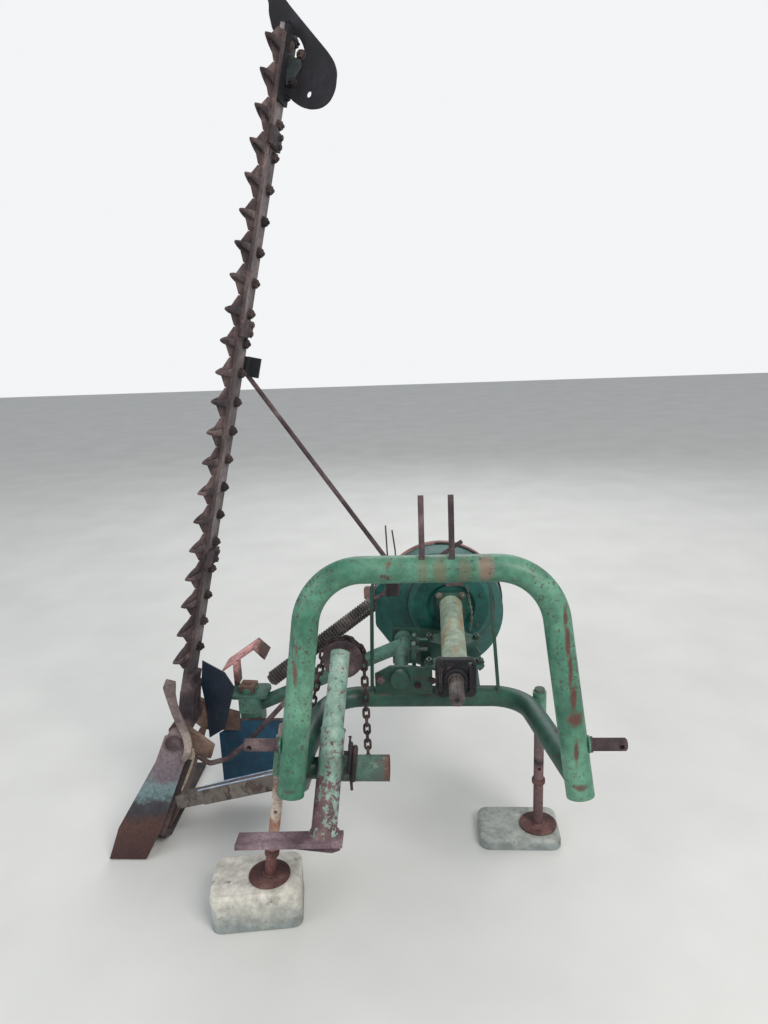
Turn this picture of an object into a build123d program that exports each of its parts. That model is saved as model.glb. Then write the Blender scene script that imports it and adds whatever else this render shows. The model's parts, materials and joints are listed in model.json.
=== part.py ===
from build123d import *
from math import cos, radians, sin, tan
import os

# Rear-mounted sickle bar mower, parked with its cutter bar folded up.
# Millimetres. X runs across the machine, Y rearward and Z up. While modelling,
# X = 0 is midway between the lower hitch pins, Y = 0 is on their axis and
# Z = 0 is the ground. The written parts are moved so that the origin is the
# middle of the whole machine's box, on the ground.

# Hitch arch: one bent tube that leans back
PIN_HEIGHT = 471.0
ARCH_TUBE_R = 30.15
ARCH_LEAN = 11.0
ARCH_HALF_WIDTH = 303.0
ARCH_SPLAY = 6.6
ARCH_RISE = 385.0
ARCH_DROP = 113.0
ARCH_BEND = 128.0
ARCH_END_BORE_R = 25.0
ARCH_END_BORE_DEPTH = 32.0

# Lower hitch pins
HITCH_PIN_R = 14.0
HITCH_PIN_TIP = 415.0
HITCH_COLLAR_R = 17.0
HITCH_COLLAR_FACE = 342.0
LINCH_HOLE_R = 6.0
LINCH_HOLE_X = 402.0

# Top link lugs
LUG_GAP = 52.0
LUG_THICKNESS = 12.0
LUG_WIDTH = 42.0
LUG_HEIGHT = 128.0
LUG_X = 18.0
TOP_LINK_R = 12.7

# Rear bow: the tube that runs back from the legs and carries the drive
BOW_HEIGHT = 396.0
BOW_TUBE_R = 27.0
BOW_LEFT = 276.0
BOW_RIGHT = 234.0
BOW_DEPTH = 362.0
BOW_BEND = 103.0

# Drive: shaft line parallel to Y
PTO_X = 57.0
PTO_Z = 534.0
PTO_TIP_Y = 80.0
PTO_PLATE_Y = 186.0
PTO_PLATE_SIZE = 98.0
PTO_PLATE_THICKNESS = 16.0
PTO_STUB_R = 17.5
PTO_JOURNAL_R = 20.0
PTO_JOURNAL_STEP = 4.0
PTO_BOSS = 10.0
PTO_SHAFT_R = 13.0
PTO_TUBE_R = 32.5
PTO_TUBE_WALL = 4.0
PTO_TUBE_END_Y = 655.0
PTO_FLANGE = 86.0
PTO_FLANGE_THICKNESS = 12.0
RUNNING_FIT = 0.1
SPLINE_COUNT = 6
SPLINE_WIDTH = 3.6
SPLINE_DEPTH = 2.2

# Round guard drum over the flywheel and belt: a round front face on the shaft's line,
# and a bigger, lower body behind it that covers the belt
DRUM_FACE_R = 128.0
DRUM_DISH_R = 61.0
DRUM_RIM_DEPTH = 12.0
DRUM_X = 28.0
DRUM_Z = 490.0
DRUM_R = 190.0
DRUM_CONE_END = 56.0
DRUM_DEPTH = 150.0
DRUM_WALL = 4.0
DRUM_SIDE_X = -175.0
DRUM_SIDE_Z = (457.0, 555.0)
DRUM_SIDE_R = 25.0
REAR_COVER_LIP = 6.0
REAR_COVER_DEPTH = 26.0
REAR_TAB_X = -217.0
REAR_TAB_Z = (496.0, 540.0)
FLYWHEEL_R = 118.0
FLYWHEEL_WIDTH = 46.0

# Hoop guard over the drive
HOOP_HALF_WIDTH = 152.0
HOOP_BAR_WIDTH = 26.0
HOOP_THICKNESS = 8.0
HOOP_TOP = 735.0
HOOP_BEND = 52.0

# Arm pivot: a fore-aft hinge
ARM_PIVOT_X = -84.0
ARM_PIVOT_Z = 462.0
ARM_PIN_R = 12.5
ARM_SLEEVE_R = 19.0
ARM_SLEEVE_Y0 = 352.0
ARM_SLEEVE_Y1 = 600.0
PIVOT_CAP_R = 26.0

# Diagonal arm pipe, yoke and inner shoe
ARM_PIPE_R = 20.0
ARM_PIPE_Y = 530.0
ARM_END_X = -520.0
ARM_END_Z = 282.0
YOKE_Z = 322.0
YOKE_X0 = -560.0
YOKE_X1 = -500.0

# Folded sheet shield behind the yoke: the (X, Z) points of its slopes
SHIELD_LINE = ((-628.0, 372.0), (-528.0, 442.0), (-494.0, 408.0))
SHIELD_Y0 = 575.0
SHIELD_Y1 = 655.0
SHIELD_BRACKET_X = -582.0

# Cutter bar: its line when folded up
BAR_ORIGIN = (-652.3, 438.9, 507.9)
BAR_DIRECTION = (0.21935, 0.07184, 0.97300)
BAR_YAW = 10.0
BAR_WIDTH = 70.0
BAR_THICKNESS = 12.0
BAR_INNER_END = -128.0
BAR_OUTER_END = 1590.0
GUARD_COUNT = 21
GUARD_PITCH = 76.2
GUARD_TIP = 135.0
GUARD_WIDTH = 24.0
KNIFE_CLEARANCE = 1.0
KNIFE_THICKNESS = 3.0
KNIFE_BACK_HEIGHT = 6.0
KNIFE_BACK_WIDTH = 18.0

# Bar hinge at the inner shoe
BAR_HINGE_X = -688.0
BAR_HINGE_Z = 304.0
BAR_PIN_R = 12.0
KNUCKLE_R = 25.0
HEEL_Y0 = 352.0
HEEL_Y1 = 470.0
LUG_CLEARANCE = 5.0
LUG_PLATE = 14.0
SHEET = 5.0

# Skid, sole and nose strap of the inner shoe
SKID_LEAN = 14.9
SKID_THICKNESS = 9.0
SKID_FOOT_X = -770.0
SOLE_X0 = -790.0
SOLE_X1 = -735.0
SOLE_THICKNESS = 12.0
SOLE_END_Y = 655.0
SOLE_RAIL = ((-740.0, 66.0), (-664.0, 252.0))
NOSE_WIDTH = 25.0
NOSE_LINE = ((-690.0, 459.0), (-708.0, 415.0), (-701.0, 380.0), (-685.0, 326.0), (-663.0, 272.0), (-675.0, 229.0))

# Lift lever: it leans back from its foot to its pulley
LEVER_PIVOT_Y = 96.0
LEVER_PIVOT_Z = 352.0
LEVER_FOOT = (-243.0, -36.0, 289.0)
LEVER_TOP = (-228.0, 270.0, 565.6)
LEVER_R = 28.5
LEVER_UPPER_R = 24.1
LEVER_JOINT_SHARE = 0.53
LEVER_GUSSET_R = 18.0
LEVER_SLEEVE_R = 30.15
LEVER_SLEEVE_BORE = 25.2
LEVER_SLEEVE_X0 = -264.0
LEVER_SLEEVE_X1 = -103.0
FOOT_LENGTH = 232.0
FOOT_DEPTH = 56.0
FOOT_HEIGHT = 44.0
FOOT_WALL = 10.0
PULLEY_R = 52.0
PULLEY_GROOVE_R = 40.0
PULLEY_WIDTH = 32.0
PULLEY_FLANGE = 4.0
PULLEY_DROP = 34.0
PULLEY_GAP = 6.0
PULLEY_PIN_R = 10.0

# Lift chain
CHAIN_PITCH = 26.0
CHAIN_WIRE = 6.0
CHAIN_WIDTH = 22.0
CHAIN_WRAP_R = 53.2
CHAIN_LEFT_DROP = (-52.0, 200.0)
CHAIN_RIGHT_DROP = (0.0, 330.0)

# Stands and the blocks under them
LEFT_STAND = (-396.5, 47.0)
LEFT_STAND_LEAN = (0.1513, 0.0549, 0.9870)
RIGHT_STAND = (276.0, 332.0)
STAND_TUBE_R = 13.0
STAND_DISC_R = 49.0
STAND_DISC_THICKNESS = 5.0
STAND_SLEEVE_WALL = 4.0
STAND_FIT = 0.4
LEFT_STAND_TOP = 480.0
RIGHT_STAND_TOP = 432.0
LEFT_BLOCK_TOP = 95.0
RIGHT_BLOCK_TOP = 28.0
LEFT_BLOCK = (-428.5, 50.0)
LEFT_BLOCK_TURN = 8.0
RIGHT_BLOCK = (224.0, 338.0)
BLOCK_WIDTH = 213.0
BLOCK_DEPTH = 150.0
STAND_REST_GAP = 0.2

# Stay rod that holds the folded bar
STAY_R = 6.5
STAY_EYE_Y = 582.0
STAY_ANCHOR = (-100.0, 673.0)
STAY_TOP = (-500.6, 1264.8)
STAY_EYE_WIDTH = 16.0
STAY_GAP = 3.0

# Spring
SPRING_R = 22.0
SPRING_TOP = (-166.0, 600.0, 571.0)
SPRING_LOW = (-478.0, 548.0, 352.0)


def unit(v):
    return Vector(*v).normalized()


bar_u = unit(BAR_DIRECTION)
bar_yaw_line = Vector(-sin(radians(BAR_YAW)), -cos(radians(BAR_YAW)), 0)
bar_g = (bar_yaw_line - bar_u * bar_yaw_line.dot(bar_u)).normalized()
bar_n = bar_u.cross(bar_g)
# Local bar frame: x outward along the bar, y forward to the tips, z its upper side in work
bar_plane = Plane(origin=BAR_ORIGIN, x_dir=bar_u, z_dir=bar_n)

arch_up = Vector(0, sin(radians(ARCH_LEAN)), cos(radians(ARCH_LEAN)))
arch_plane = Plane(origin=(0, 0, PIN_HEIGHT), x_dir=(1, 0, 0), z_dir=Vector(1, 0, 0).cross(arch_up))


def largest(shape):
    """The biggest solid of a shape, without the slivers that a cut leaves."""
    return shape.solids().sort_by(SortBy.VOLUME)[-1]


def rod(a, b, r, r_bore=0.0):
    """Round bar from a to b, with an optional bore."""
    a, b = Vector(*a), Vector(*b)
    place = Plane(origin=a, z_dir=b - a)
    length = (b - a).length
    solid = Cylinder(r, length, align=(Align.CENTER, Align.CENTER, Align.MIN))
    if r_bore > 0:
        solid -= Cylinder(r_bore, length, align=(Align.CENTER, Align.CENTER, Align.MIN))
    return place * solid


def bent_tube(points, bend, r):
    """Round tube along straight runs joined by arcs."""
    path = FilletPolyline(*points, radius=bend)
    section = Plane(origin=path @ 0, z_dir=path % 0) * Circle(r)
    return sweep(section, path=path)


def plate(place, outline, thickness, both=False):
    """Flat plate with the given outline in a plane."""
    face = make_face(Polyline(*outline, close=True))
    return place * extrude(face, thickness, both=both)


def box(x0, x1, y0, y1, z0, z1):
    """Box between two corners."""
    solid = Box(x1 - x0, y1 - y0, z1 - z0, align=(Align.MIN, Align.MIN, Align.MIN))
    return Pos(x0, y0, z0) * solid


def front_plane(y):
    """Plane seen from the front: local x is X, local y is Z, and it extrudes rearward."""
    return Plane(origin=(0, y, 0), x_dir=(-1, 0, 0), z_dir=(0, 1, 0))


def front_outline(points):
    """Turns (X, Z) points into the local points of front_plane."""
    return [(-x, z) for x, z in points]


def front_plate(points, y, thickness):
    """Plate with an (X, Z) outline that goes rearward from y."""
    return plate(front_plane(y), front_outline(points), thickness)


def leg_x(s):
    """Half width of the arch's axis at a distance s above the pins, along the lean."""
    return ARCH_HALF_WIDTH - tan(radians(ARCH_SPLAY)) * s


def make_hitch_arch():
    points = [
        (-leg_x(-ARCH_DROP), -ARCH_DROP, 0), (-leg_x(ARCH_RISE), ARCH_RISE, 0),
        (leg_x(ARCH_RISE), ARCH_RISE, 0), (leg_x(-ARCH_DROP), -ARCH_DROP, 0),
    ]
    tube = bent_tube(points, ARCH_BEND, ARCH_TUBE_R)
    for side in (-1, 1):
        low = Vector(side * leg_x(-ARCH_DROP), -ARCH_DROP, 0)
        high = Vector(side * leg_x(0), 0, 0)
        end = low + (high - low).normalized() * ARCH_END_BORE_DEPTH
        start = low - (high - low).normalized()
        tube -= rod(tuple(start), tuple(end), ARCH_END_BORE_R)
    return arch_plane * tube


def make_hitch_pin(side):
    inner = leg_x(0) + ARCH_TUBE_R - 2
    pin = rod((side * inner, 0, PIN_HEIGHT), (side * HITCH_PIN_TIP, 0, PIN_HEIGHT), HITCH_PIN_R)
    pin = chamfer(pin.edges().filter_by(GeomType.CIRCLE).sort_by(Axis.X)[-1 if side > 0 else 0], 3)
    pin += rod((side * inner, 0, PIN_HEIGHT), (side * HITCH_COLLAR_FACE, 0, PIN_HEIGHT), HITCH_COLLAR_R)
    hole_x = side * LINCH_HOLE_X
    pin -= rod((hole_x, -HITCH_PIN_R * 2, PIN_HEIGHT), (hole_x, HITCH_PIN_R * 2, PIN_HEIGHT), LINCH_HOLE_R)
    return pin - make_hitch_arch()


def make_top_link_lugs():
    lugs = []
    for side in (-1, 1):
        x = LUG_X + side * (LUG_GAP / 2 + LUG_THICKNESS / 2)
        place = Plane(origin=(x, 0, PIN_HEIGHT), x_dir=arch_up, z_dir=(1, 0, 0))
        length = LUG_HEIGHT + ARCH_TUBE_R
        lug = Box(length, LUG_WIDTH, LUG_THICKNESS, align=(Align.MIN, Align.CENTER, Align.CENTER))
        lug = Pos(ARCH_RISE, 0, 0) * lug
        lug = fillet(lug.edges().filter_by(Axis.Z).group_by(Axis.X)[-1], LUG_WIDTH * 0.32)
        lug -= Pos(ARCH_RISE + length - LUG_WIDTH * 0.45, 0, 0) * Cylinder(TOP_LINK_R, LUG_THICKNESS * 2)
        lugs.append(place * lug - make_hitch_arch())
    return lugs


def top_link_point():
    s = ARCH_RISE + LUG_HEIGHT + ARCH_TUBE_R - LUG_WIDTH * 0.45
    return Vector(LUG_X, 0, PIN_HEIGHT) + arch_up * s


def bow_path_points():
    y_leg = (arch_up * ((BOW_HEIGHT - PIN_HEIGHT) / arch_up.Z)).Y
    x_leg = leg_x((BOW_HEIGHT - PIN_HEIGHT) / arch_up.Z)
    return [
        (-x_leg, y_leg, BOW_HEIGHT), (-BOW_LEFT, BOW_DEPTH, BOW_HEIGHT),
        (BOW_RIGHT, BOW_DEPTH, BOW_HEIGHT), (x_leg, y_leg, BOW_HEIGHT),
    ]


def make_rear_bow():
    return largest(bent_tube(bow_path_points(), BOW_BEND, BOW_TUBE_R) - make_hitch_arch())


def make_pto_plate():
    half = PTO_PLATE_SIZE / 2
    place = Plane(origin=(PTO_X, PTO_PLATE_Y, PTO_Z), x_dir=(1, 0, 0), z_dir=(0, -1, 0))
    body = Box(PTO_PLATE_SIZE, PTO_PLATE_SIZE, PTO_PLATE_THICKNESS, align=(Align.CENTER, Align.CENTER, Align.MAX))
    body = fillet(body.edges().filter_by(Axis.Z), 16)
    boss = Cylinder(30, PTO_BOSS, align=(Align.CENTER, Align.CENTER, Align.MIN))
    body += fillet(boss.edges().sort_by(Axis.Z)[-1], 4)
    for x in (-36, 36):
        body += Pos(x, 0, 0) * Box(7, 70, 9, align=(Align.CENTER, Align.CENTER, Align.MIN))
    for x, y in ((-half, half), (half, half), (-half, -half), (half, -half)):
        hole = Pos(x * 0.72, y * 0.74, 0) * Cylinder(6.5, PTO_PLATE_THICKNESS * 3)
        body -= hole
    for x, y in ((-half, half), (half, -half)):
        head = extrude(RegularPolygon(10, 6), 8)
        body += Pos(x * 0.72, y * 0.74, 0) * head
        body += Pos(x * 0.72, y * 0.74, -PTO_PLATE_THICKNESS) * Cylinder(
            6.5, PTO_PLATE_THICKNESS, align=(Align.CENTER, Align.CENTER, Align.MIN))
    body -= Cylinder(PTO_JOURNAL_R + RUNNING_FIT, 80)
    return place * body


def make_pto_shaft():
    stub_end = PTO_PLATE_Y + PTO_PLATE_THICKNESS + 8
    journal_y = PTO_PLATE_Y - PTO_BOSS - PTO_JOURNAL_STEP
    stub = rod((PTO_X, PTO_TIP_Y, PTO_Z), (PTO_X, journal_y + 1, PTO_Z), PTO_STUB_R)
    stub = chamfer(stub.edges().filter_by(GeomType.CIRCLE).sort_by(Axis.Y)[0], 2.5)
    for i in range(SPLINE_COUNT):
        cutter = box(-SPLINE_WIDTH / 2, SPLINE_WIDTH / 2, PTO_TIP_Y - 1, journal_y + 2, PTO_STUB_R - SPLINE_DEPTH,
                     PTO_STUB_R + 4)
        stub -= Pos(PTO_X, 0, PTO_Z) * (Rot(0, 360 / SPLINE_COUNT * i, 0) * cutter)
    shaft = rod((PTO_X, stub_end - 1, PTO_Z), (PTO_X, flywheel_y() + FLYWHEEL_WIDTH, PTO_Z), PTO_SHAFT_R)
    journal = rod((PTO_X, journal_y, PTO_Z), (PTO_X, stub_end, PTO_Z), PTO_JOURNAL_R)
    return stub + journal + shaft


def drum_front_y():
    return PTO_TUBE_END_Y + PTO_FLANGE_THICKNESS


def flywheel_y():
    return drum_front_y() + DRUM_WALL + 34


def make_flywheel():
    y = flywheel_y()
    disc = rod((PTO_X, y, PTO_Z), (PTO_X, y + FLYWHEEL_WIDTH, PTO_Z), FLYWHEEL_R)
    return disc - rod((PTO_X, y - 1, PTO_Z), (PTO_X, y + FLYWHEEL_WIDTH + 1, PTO_Z), PTO_SHAFT_R)


def make_pto_tube():
    y0 = PTO_PLATE_Y + PTO_PLATE_THICKNESS
    tube = rod((PTO_X, y0, PTO_Z), (PTO_X, PTO_TUBE_END_Y, PTO_Z), PTO_TUBE_R)
    flange = Plane(origin=(PTO_X, PTO_TUBE_END_Y, PTO_Z), x_dir=(-1, 0, 0), z_dir=(0, 1, 0)) * fillet(
        Box(PTO_FLANGE, PTO_FLANGE, PTO_FLANGE_THICKNESS,
            align=(Align.CENTER, Align.CENTER, Align.MIN)).edges().filter_by(Axis.Z), 14)
    tube += flange
    # Gussets in two rows, one each side of the tube
    for y in (300, 452):
        for side in (-1, 1):
            tip = PTO_X + side * 74
            root = PTO_X + side * (PTO_TUBE_R - 10)
            outline = [(root, y - 44), (tip, y - 9), (tip, y + 14), (root, y + 52)]
            place = Plane(origin=(0, 0, PTO_Z - 22), x_dir=(1, 0, 0), z_dir=(0, 0, 1))
            gusset = plate(place, outline, 8)
            tube += gusset
    bore_end = drum_front_y() + 1
    return tube - rod((PTO_X, y0 - 1, PTO_Z), (PTO_X, bore_end, PTO_Z), PTO_TUBE_R - PTO_TUBE_WALL)


def drum_side(grow):
    """Outline of the drum's rear body: a circle with one flat side, wider or narrower by grow."""
    corner_x = -(DRUM_SIDE_X + DRUM_SIDE_R)
    edges = (Pos(-DRUM_X, DRUM_Z) * Circle(DRUM_R + grow)).edges()
    for z in DRUM_SIDE_Z:
        edges += (Pos(corner_x, z) * Circle(DRUM_SIDE_R + grow)).edges()
    return make_hull(edges)


def drum_form(profile, inset):
    """Dished front, skewed cone and rear body of the drum as one solid."""
    y = drum_front_y()
    front = Pos(PTO_X, y, PTO_Z) * revolve(make_face(Polyline(*profile, close=True)), Axis.Y)
    cone = loft([front_plane(y + DRUM_RIM_DEPTH) * (Pos(-PTO_X, PTO_Z) * Circle(DRUM_FACE_R - inset)),
                 front_plane(y + DRUM_CONE_END) * (Pos(-DRUM_X, DRUM_Z) * Circle(DRUM_R - inset))])
    rear_y = y + DRUM_CONE_END + inset
    rear = extrude(front_plane(rear_y) * drum_side(-inset), y + DRUM_DEPTH + (1 if inset else 0) - rear_y)
    if inset:
        rear += extrude(front_plane(y + DRUM_CONE_END) * (Pos(-DRUM_X, DRUM_Z) * Circle(DRUM_R - inset)), inset + 1)
    return front + cone + rear


def drum_outside():
    profile = [(PTO_SHAFT_R + 4, 0), (DRUM_DISH_R, 0), (DRUM_DISH_R + 12, -14), (DRUM_FACE_R - 16, -14),
               (DRUM_FACE_R, -4), (DRUM_FACE_R, DRUM_RIM_DEPTH), (PTO_SHAFT_R + 4, DRUM_RIM_DEPTH)]
    return drum_form(profile, 0.0)


def make_drum_housing():
    """Dished guard round the drive line with its bigger body behind, open at its rear."""
    w = DRUM_WALL
    inside = [(PTO_SHAFT_R + 3, w), (DRUM_DISH_R + 3, w), (DRUM_DISH_R + 15, w - 14), (DRUM_FACE_R - 19, w - 14),
              (DRUM_FACE_R - w, w - 2), (DRUM_FACE_R - w, DRUM_RIM_DEPTH + 1), (PTO_SHAFT_R + 3, DRUM_RIM_DEPTH + 1)]
    shell = drum_outside() - drum_form(inside, w)
    y = drum_front_y()
    return largest(shell - rod((PTO_X, y - 20, PTO_Z), (PTO_X, y + w + 2, PTO_Z), PTO_SHAFT_R + 6))


def make_rear_cover():
    """Lid on the drum's open rear, with a tab on its left side."""
    y = drum_front_y() + DRUM_DEPTH + 0.2
    lid = extrude(front_plane(y) * drum_side(REAR_COVER_LIP), REAR_COVER_DEPTH)
    lid = fillet(lid.faces().sort_by(Axis.Y)[-1].edges(), 10)
    tab = box(REAR_TAB_X, DRUM_SIDE_X, y, y + 12, REAR_TAB_Z[0], REAR_TAB_Z[1])
    return lid + fillet(tab.edges().filter_by(Axis.Y).sort_by(Axis.X)[:2], 10)


def make_hoop():
    """Flat bar hoop that stands on the bow round the drive tube."""
    base = BOW_HEIGHT + BOW_TUBE_R * 0.6
    y = BOW_DEPTH - 6
    half = HOOP_HALF_WIDTH
    outer_pts = [(-half - 8, base), (-half, HOOP_TOP), (half, HOOP_TOP), (half + 20, base)]
    path = FilletPolyline(*[(x, y + (z - base) * 0.12, z) for x, z in outer_pts], radius=HOOP_BEND)
    normal = path % 0
    section = Plane(origin=path @ 0, x_dir=(0, 1, 0), z_dir=normal) * Rectangle(HOOP_BAR_WIDTH, HOOP_THICKNESS)
    return sweep(section, path=path) - bent_tube(bow_path_points(), BOW_BEND, BOW_TUBE_R)


def make_pivot_bracket():
    """Plates on the bow that hold the arm's pivot pin, and the pin's round cap."""
    bow = bent_tube(bow_path_points(), BOW_BEND, BOW_TUBE_R)
    x, z = ARM_PIVOT_X, ARM_PIVOT_Z
    front_y = ARM_SLEEVE_Y0 - 2 - 10
    outline = [(x - 66, z - 44), (x + 84, z - 44), (x + 84, z + 22), (x + 26, z + 30), (x - 26, z + 30), (x - 66, z + 8)]
    front = front_plate(outline, front_y, 10)
    cap = rod((x, front_y - 22, z), (x, front_y, z), PIVOT_CAP_R)
    cap = fillet(cap.edges().filter_by(GeomType.CIRCLE).sort_by(Axis.Y)[0], 4)
    bracket = front + cap
    bracket -= rod((x, front_y - 10, z), (x, front_y + 12, z), ARM_PIN_R)
    shelf = box(x - 66, x + 84, front_y, front_y + 30, z - 54, z - 40)
    return largest(bracket + (shelf - bow) - bow)


def make_pivot_pin():
    front_y = ARM_SLEEVE_Y0 - 2 - 10
    return rod((ARM_PIVOT_X, front_y - 10, ARM_PIVOT_Z), (ARM_PIVOT_X, ARM_SLEEVE_Y1 + 22, ARM_PIVOT_Z), ARM_PIN_R)


def make_drive_cradle():
    """Rails and a cross plate that carry the drum and the rear end of the pivot pin on the bow."""
    bow = make_rear_bow()
    y_end = drum_front_y()
    rail_low, rail_high = BOW_HEIGHT - 20, BOW_HEIGHT + 10
    drum = drum_outside()
    cross = front_plate([(ARM_PIVOT_X - 34, rail_low), (PTO_X + 84, rail_low), (PTO_X + 84, rail_high),
                         (PTO_X + 40, PTO_Z - 54), (PTO_X - 40, PTO_Z - 54), (ARM_PIVOT_X + 34, ARM_PIVOT_Z + 26),
                         (ARM_PIVOT_X - 34, ARM_PIVOT_Z + 26)], ARM_SLEEVE_Y1 + 2, 12)
    cradle = cross - rod((ARM_PIVOT_X, 500, ARM_PIVOT_Z), (ARM_PIVOT_X, 700, ARM_PIVOT_Z), ARM_PIN_R)
    for x in (PTO_X - 92, PTO_X + 40):
        cradle += largest(box(x, x + 30, BOW_DEPTH, y_end + DRUM_CONE_END, rail_low, rail_high) - bow - drum)
    return cradle


def make_adjuster():
    """Small links, bolts and nuts between the pivot bracket and the drive tube."""
    x0 = ARM_PIVOT_X + ARM_SLEEVE_R + 12
    x1 = PTO_X - 74
    upright = box(x0, x0 + 10, 372, 396, BOW_HEIGHT + BOW_TUBE_R - 2, PTO_Z + 4)
    rear = box(x0, x0 + 10, 430, 452, ARM_PIVOT_Z + 6, PTO_Z + 4)
    tie = box(x0, x0 + 10, 372, 452, PTO_Z - 40, PTO_Z - 24)
    link_a = rod((x0 - 6, 384, PTO_Z - 14), (x1 + 6, 384, PTO_Z - 14), 5)
    link_b = rod((x0 - 6, 441, PTO_Z - 12), (x1 + 6, 441, PTO_Z - 12), 5)
    parts = upright + rear + tie + link_a + link_b
    for y in (384, 441):
        nut = Plane(origin=(x0 + 10, y, PTO_Z - 13), z_dir=(1, 0, 0)) * extrude(RegularPolygon(10, 6), 9)
        parts += nut
    bow = bent_tube(bow_path_points(), BOW_BEND, BOW_TUBE_R)
    return parts - bow - make_pto_tube()


def make_arm():
    """Pivot sleeve with the diagonal pipe that reaches down to the inner shoe."""
    x, z = ARM_PIVOT_X, ARM_PIVOT_Z
    sleeve = rod((x, ARM_SLEEVE_Y0, z), (x, ARM_SLEEVE_Y1, z), ARM_SLEEVE_R)
    collar = rod((x, ARM_SLEEVE_Y1 - 34, z), (x, ARM_SLEEVE_Y1 - 12, z), ARM_SLEEVE_R + 7)
    pipe = rod((x, ARM_PIPE_Y, z + 6), (ARM_END_X, ARM_PIPE_Y, ARM_END_Z), ARM_PIPE_R)
    arm = sleeve + collar + pipe
    return arm - rod((x, ARM_SLEEVE_Y0 - 1, z), (x, ARM_SLEEVE_Y1 + 1, z), ARM_PIN_R + RUNNING_FIT)


def make_yoke():
    """Green yoke plate on the arm's end, with its upright and the rusty cap."""
    y = ARM_PIPE_Y
    pipe = rod((ARM_PIVOT_X, y, ARM_PIVOT_Z + 6), (ARM_END_X, y, ARM_END_Z), ARM_PIPE_R)
    top = box(YOKE_X0 - 30, YOKE_X1 + 22, y - 44, y + 40, YOKE_Z, YOKE_Z + 10)
    top = fillet(top.edges().filter_by(Axis.Z), 18)
    upright = box(YOKE_X0, YOKE_X1, board_y() + SHEET, y + 30, 230, YOKE_Z + 4)
    upright += box(YOKE_X0, YOKE_X1, board_y() - 8, board_y() + SHEET + 2, 280, YOKE_Z + 4)
    yoke = top + upright
    cap = Pos(-540, y - 4, YOKE_Z + 10) * Cylinder(27, 16, align=(Align.CENTER, Align.CENTER, Align.MIN))
    return (yoke + chamfer(cap.edges().sort_by(Axis.Z)[-1], 5)) - pipe


def make_inner_shoe():
    """Shoe casting: hinge lugs front and rear, and the slanting web that stands on the sole."""
    hx, hz = BAR_HINGE_X, BAR_HINGE_Z
    front_y = HEEL_Y0 - LUG_CLEARANCE
    rear_y = HEEL_Y1 + LUG_CLEARANCE
    front = front_plate([(hx - 28, hz - 26), (hx + 20, hz - 70), (hx + 80, hz - 76), (hx + 92, hz - 40),
                         (hx + 34, hz + 10), (hx + 12, hz + 30), (hx - 14, hz + 30), (hx - 28, hz + 12)],
                        front_y - LUG_PLATE, LUG_PLATE)
    rear = front_plate([(hx - 28, hz - 26), (hx + 20, hz - 70), (hx + 128, hz - 74), (hx + 128, hz - 20),
                        (hx + 60, hz + 2), (hx + 12, hz + 30), (hx - 14, hz + 30), (hx - 28, hz + 12)],
                       rear_y, LUG_PLATE)
    web = front_plate([(hx + 16, hz - 54), (hx + 30, hz - 60), (SOLE_X1 - 6, SOLE_THICKNESS),
                       (SOLE_X1 - 22, SOLE_THICKNESS)], front_y - LUG_PLATE, rear_y - front_y + 2 * LUG_PLATE)
    shoe = front + rear + web
    return shoe - rod((hx, 200, hz), (hx, 700, hz), BAR_PIN_R)


def board_y():
    """Front face of the swath board, which stands against the rear lug."""
    return HEEL_Y1 + LUG_CLEARANCE + LUG_PLATE


def make_shoe_sole():
    """Sole runner on the ground, turned up at its front, and the rail that rises from it behind the skid."""
    t = SOLE_THICKNESS
    toe = skid_back_y(78) + 1
    outline = [(toe, 78), (toe + 12, 76), (toe + 36, 34), (toe + 82, t), (SOLE_END_Y, t), (SOLE_END_Y, 0),
               (toe + 74, 0), (toe + 26, 24)]
    place = Plane(origin=(SOLE_X0, 0, 0), x_dir=(0, 1, 0), z_dir=(1, 0, 0))
    sole = plate(place, outline, SOLE_X1 - SOLE_X0)
    # The rail lies on the skid's back
    low, high = SOLE_RAIL
    rail = [(low[0] - 20, low[1]), (low[0] + 16, low[1] - 8), (high[0] + 18, high[1]), (high[0] - 18, high[1] + 8)]
    rail = skid_plane() * (Pos(0, 0, SKID_THICKNESS) * extrude(make_face(Polyline(*skid_outline(rail), close=True)), 8))
    return sole + rail


def make_bar_pin():
    front_y = HEEL_Y0 - LUG_CLEARANCE - LUG_PLATE
    rear_y = HEEL_Y1 + LUG_CLEARANCE + LUG_PLATE
    pin = rod((BAR_HINGE_X, front_y - 55, BAR_HINGE_Z), (BAR_HINGE_X, rear_y + 14, BAR_HINGE_Z), BAR_PIN_R)
    collar = rod((BAR_HINGE_X, front_y - 55, BAR_HINGE_Z), (BAR_HINGE_X, front_y - 47, BAR_HINGE_Z), BAR_PIN_R + 9)
    return pin + collar


def skid_plane():
    """Front face of the skid, seen from the front: local x is -X, local y rises and leans back."""
    lean = radians(SKID_LEAN)
    return Plane(origin=(BAR_HINGE_X, skid_front_y(), BAR_HINGE_Z), x_dir=(-1, 0, 0), z_dir=(0, cos(lean), -sin(lean)))


def skid_outline(points):
    """Turns (X, Z) points into the local points of skid_plane."""
    return [(BAR_HINGE_X - x, (z - BAR_HINGE_Z) / cos(radians(SKID_LEAN))) for x, z in points]


def skid_front_y():
    return HEEL_Y0 - LUG_CLEARANCE - LUG_PLATE - 40


def skid_back_y(z):
    """Y of the skid's back face at a height."""
    lean = radians(SKID_LEAN)
    return skid_front_y() - (BAR_HINGE_Z - z) * tan(lean) + SKID_THICKNESS / cos(lean)


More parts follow.
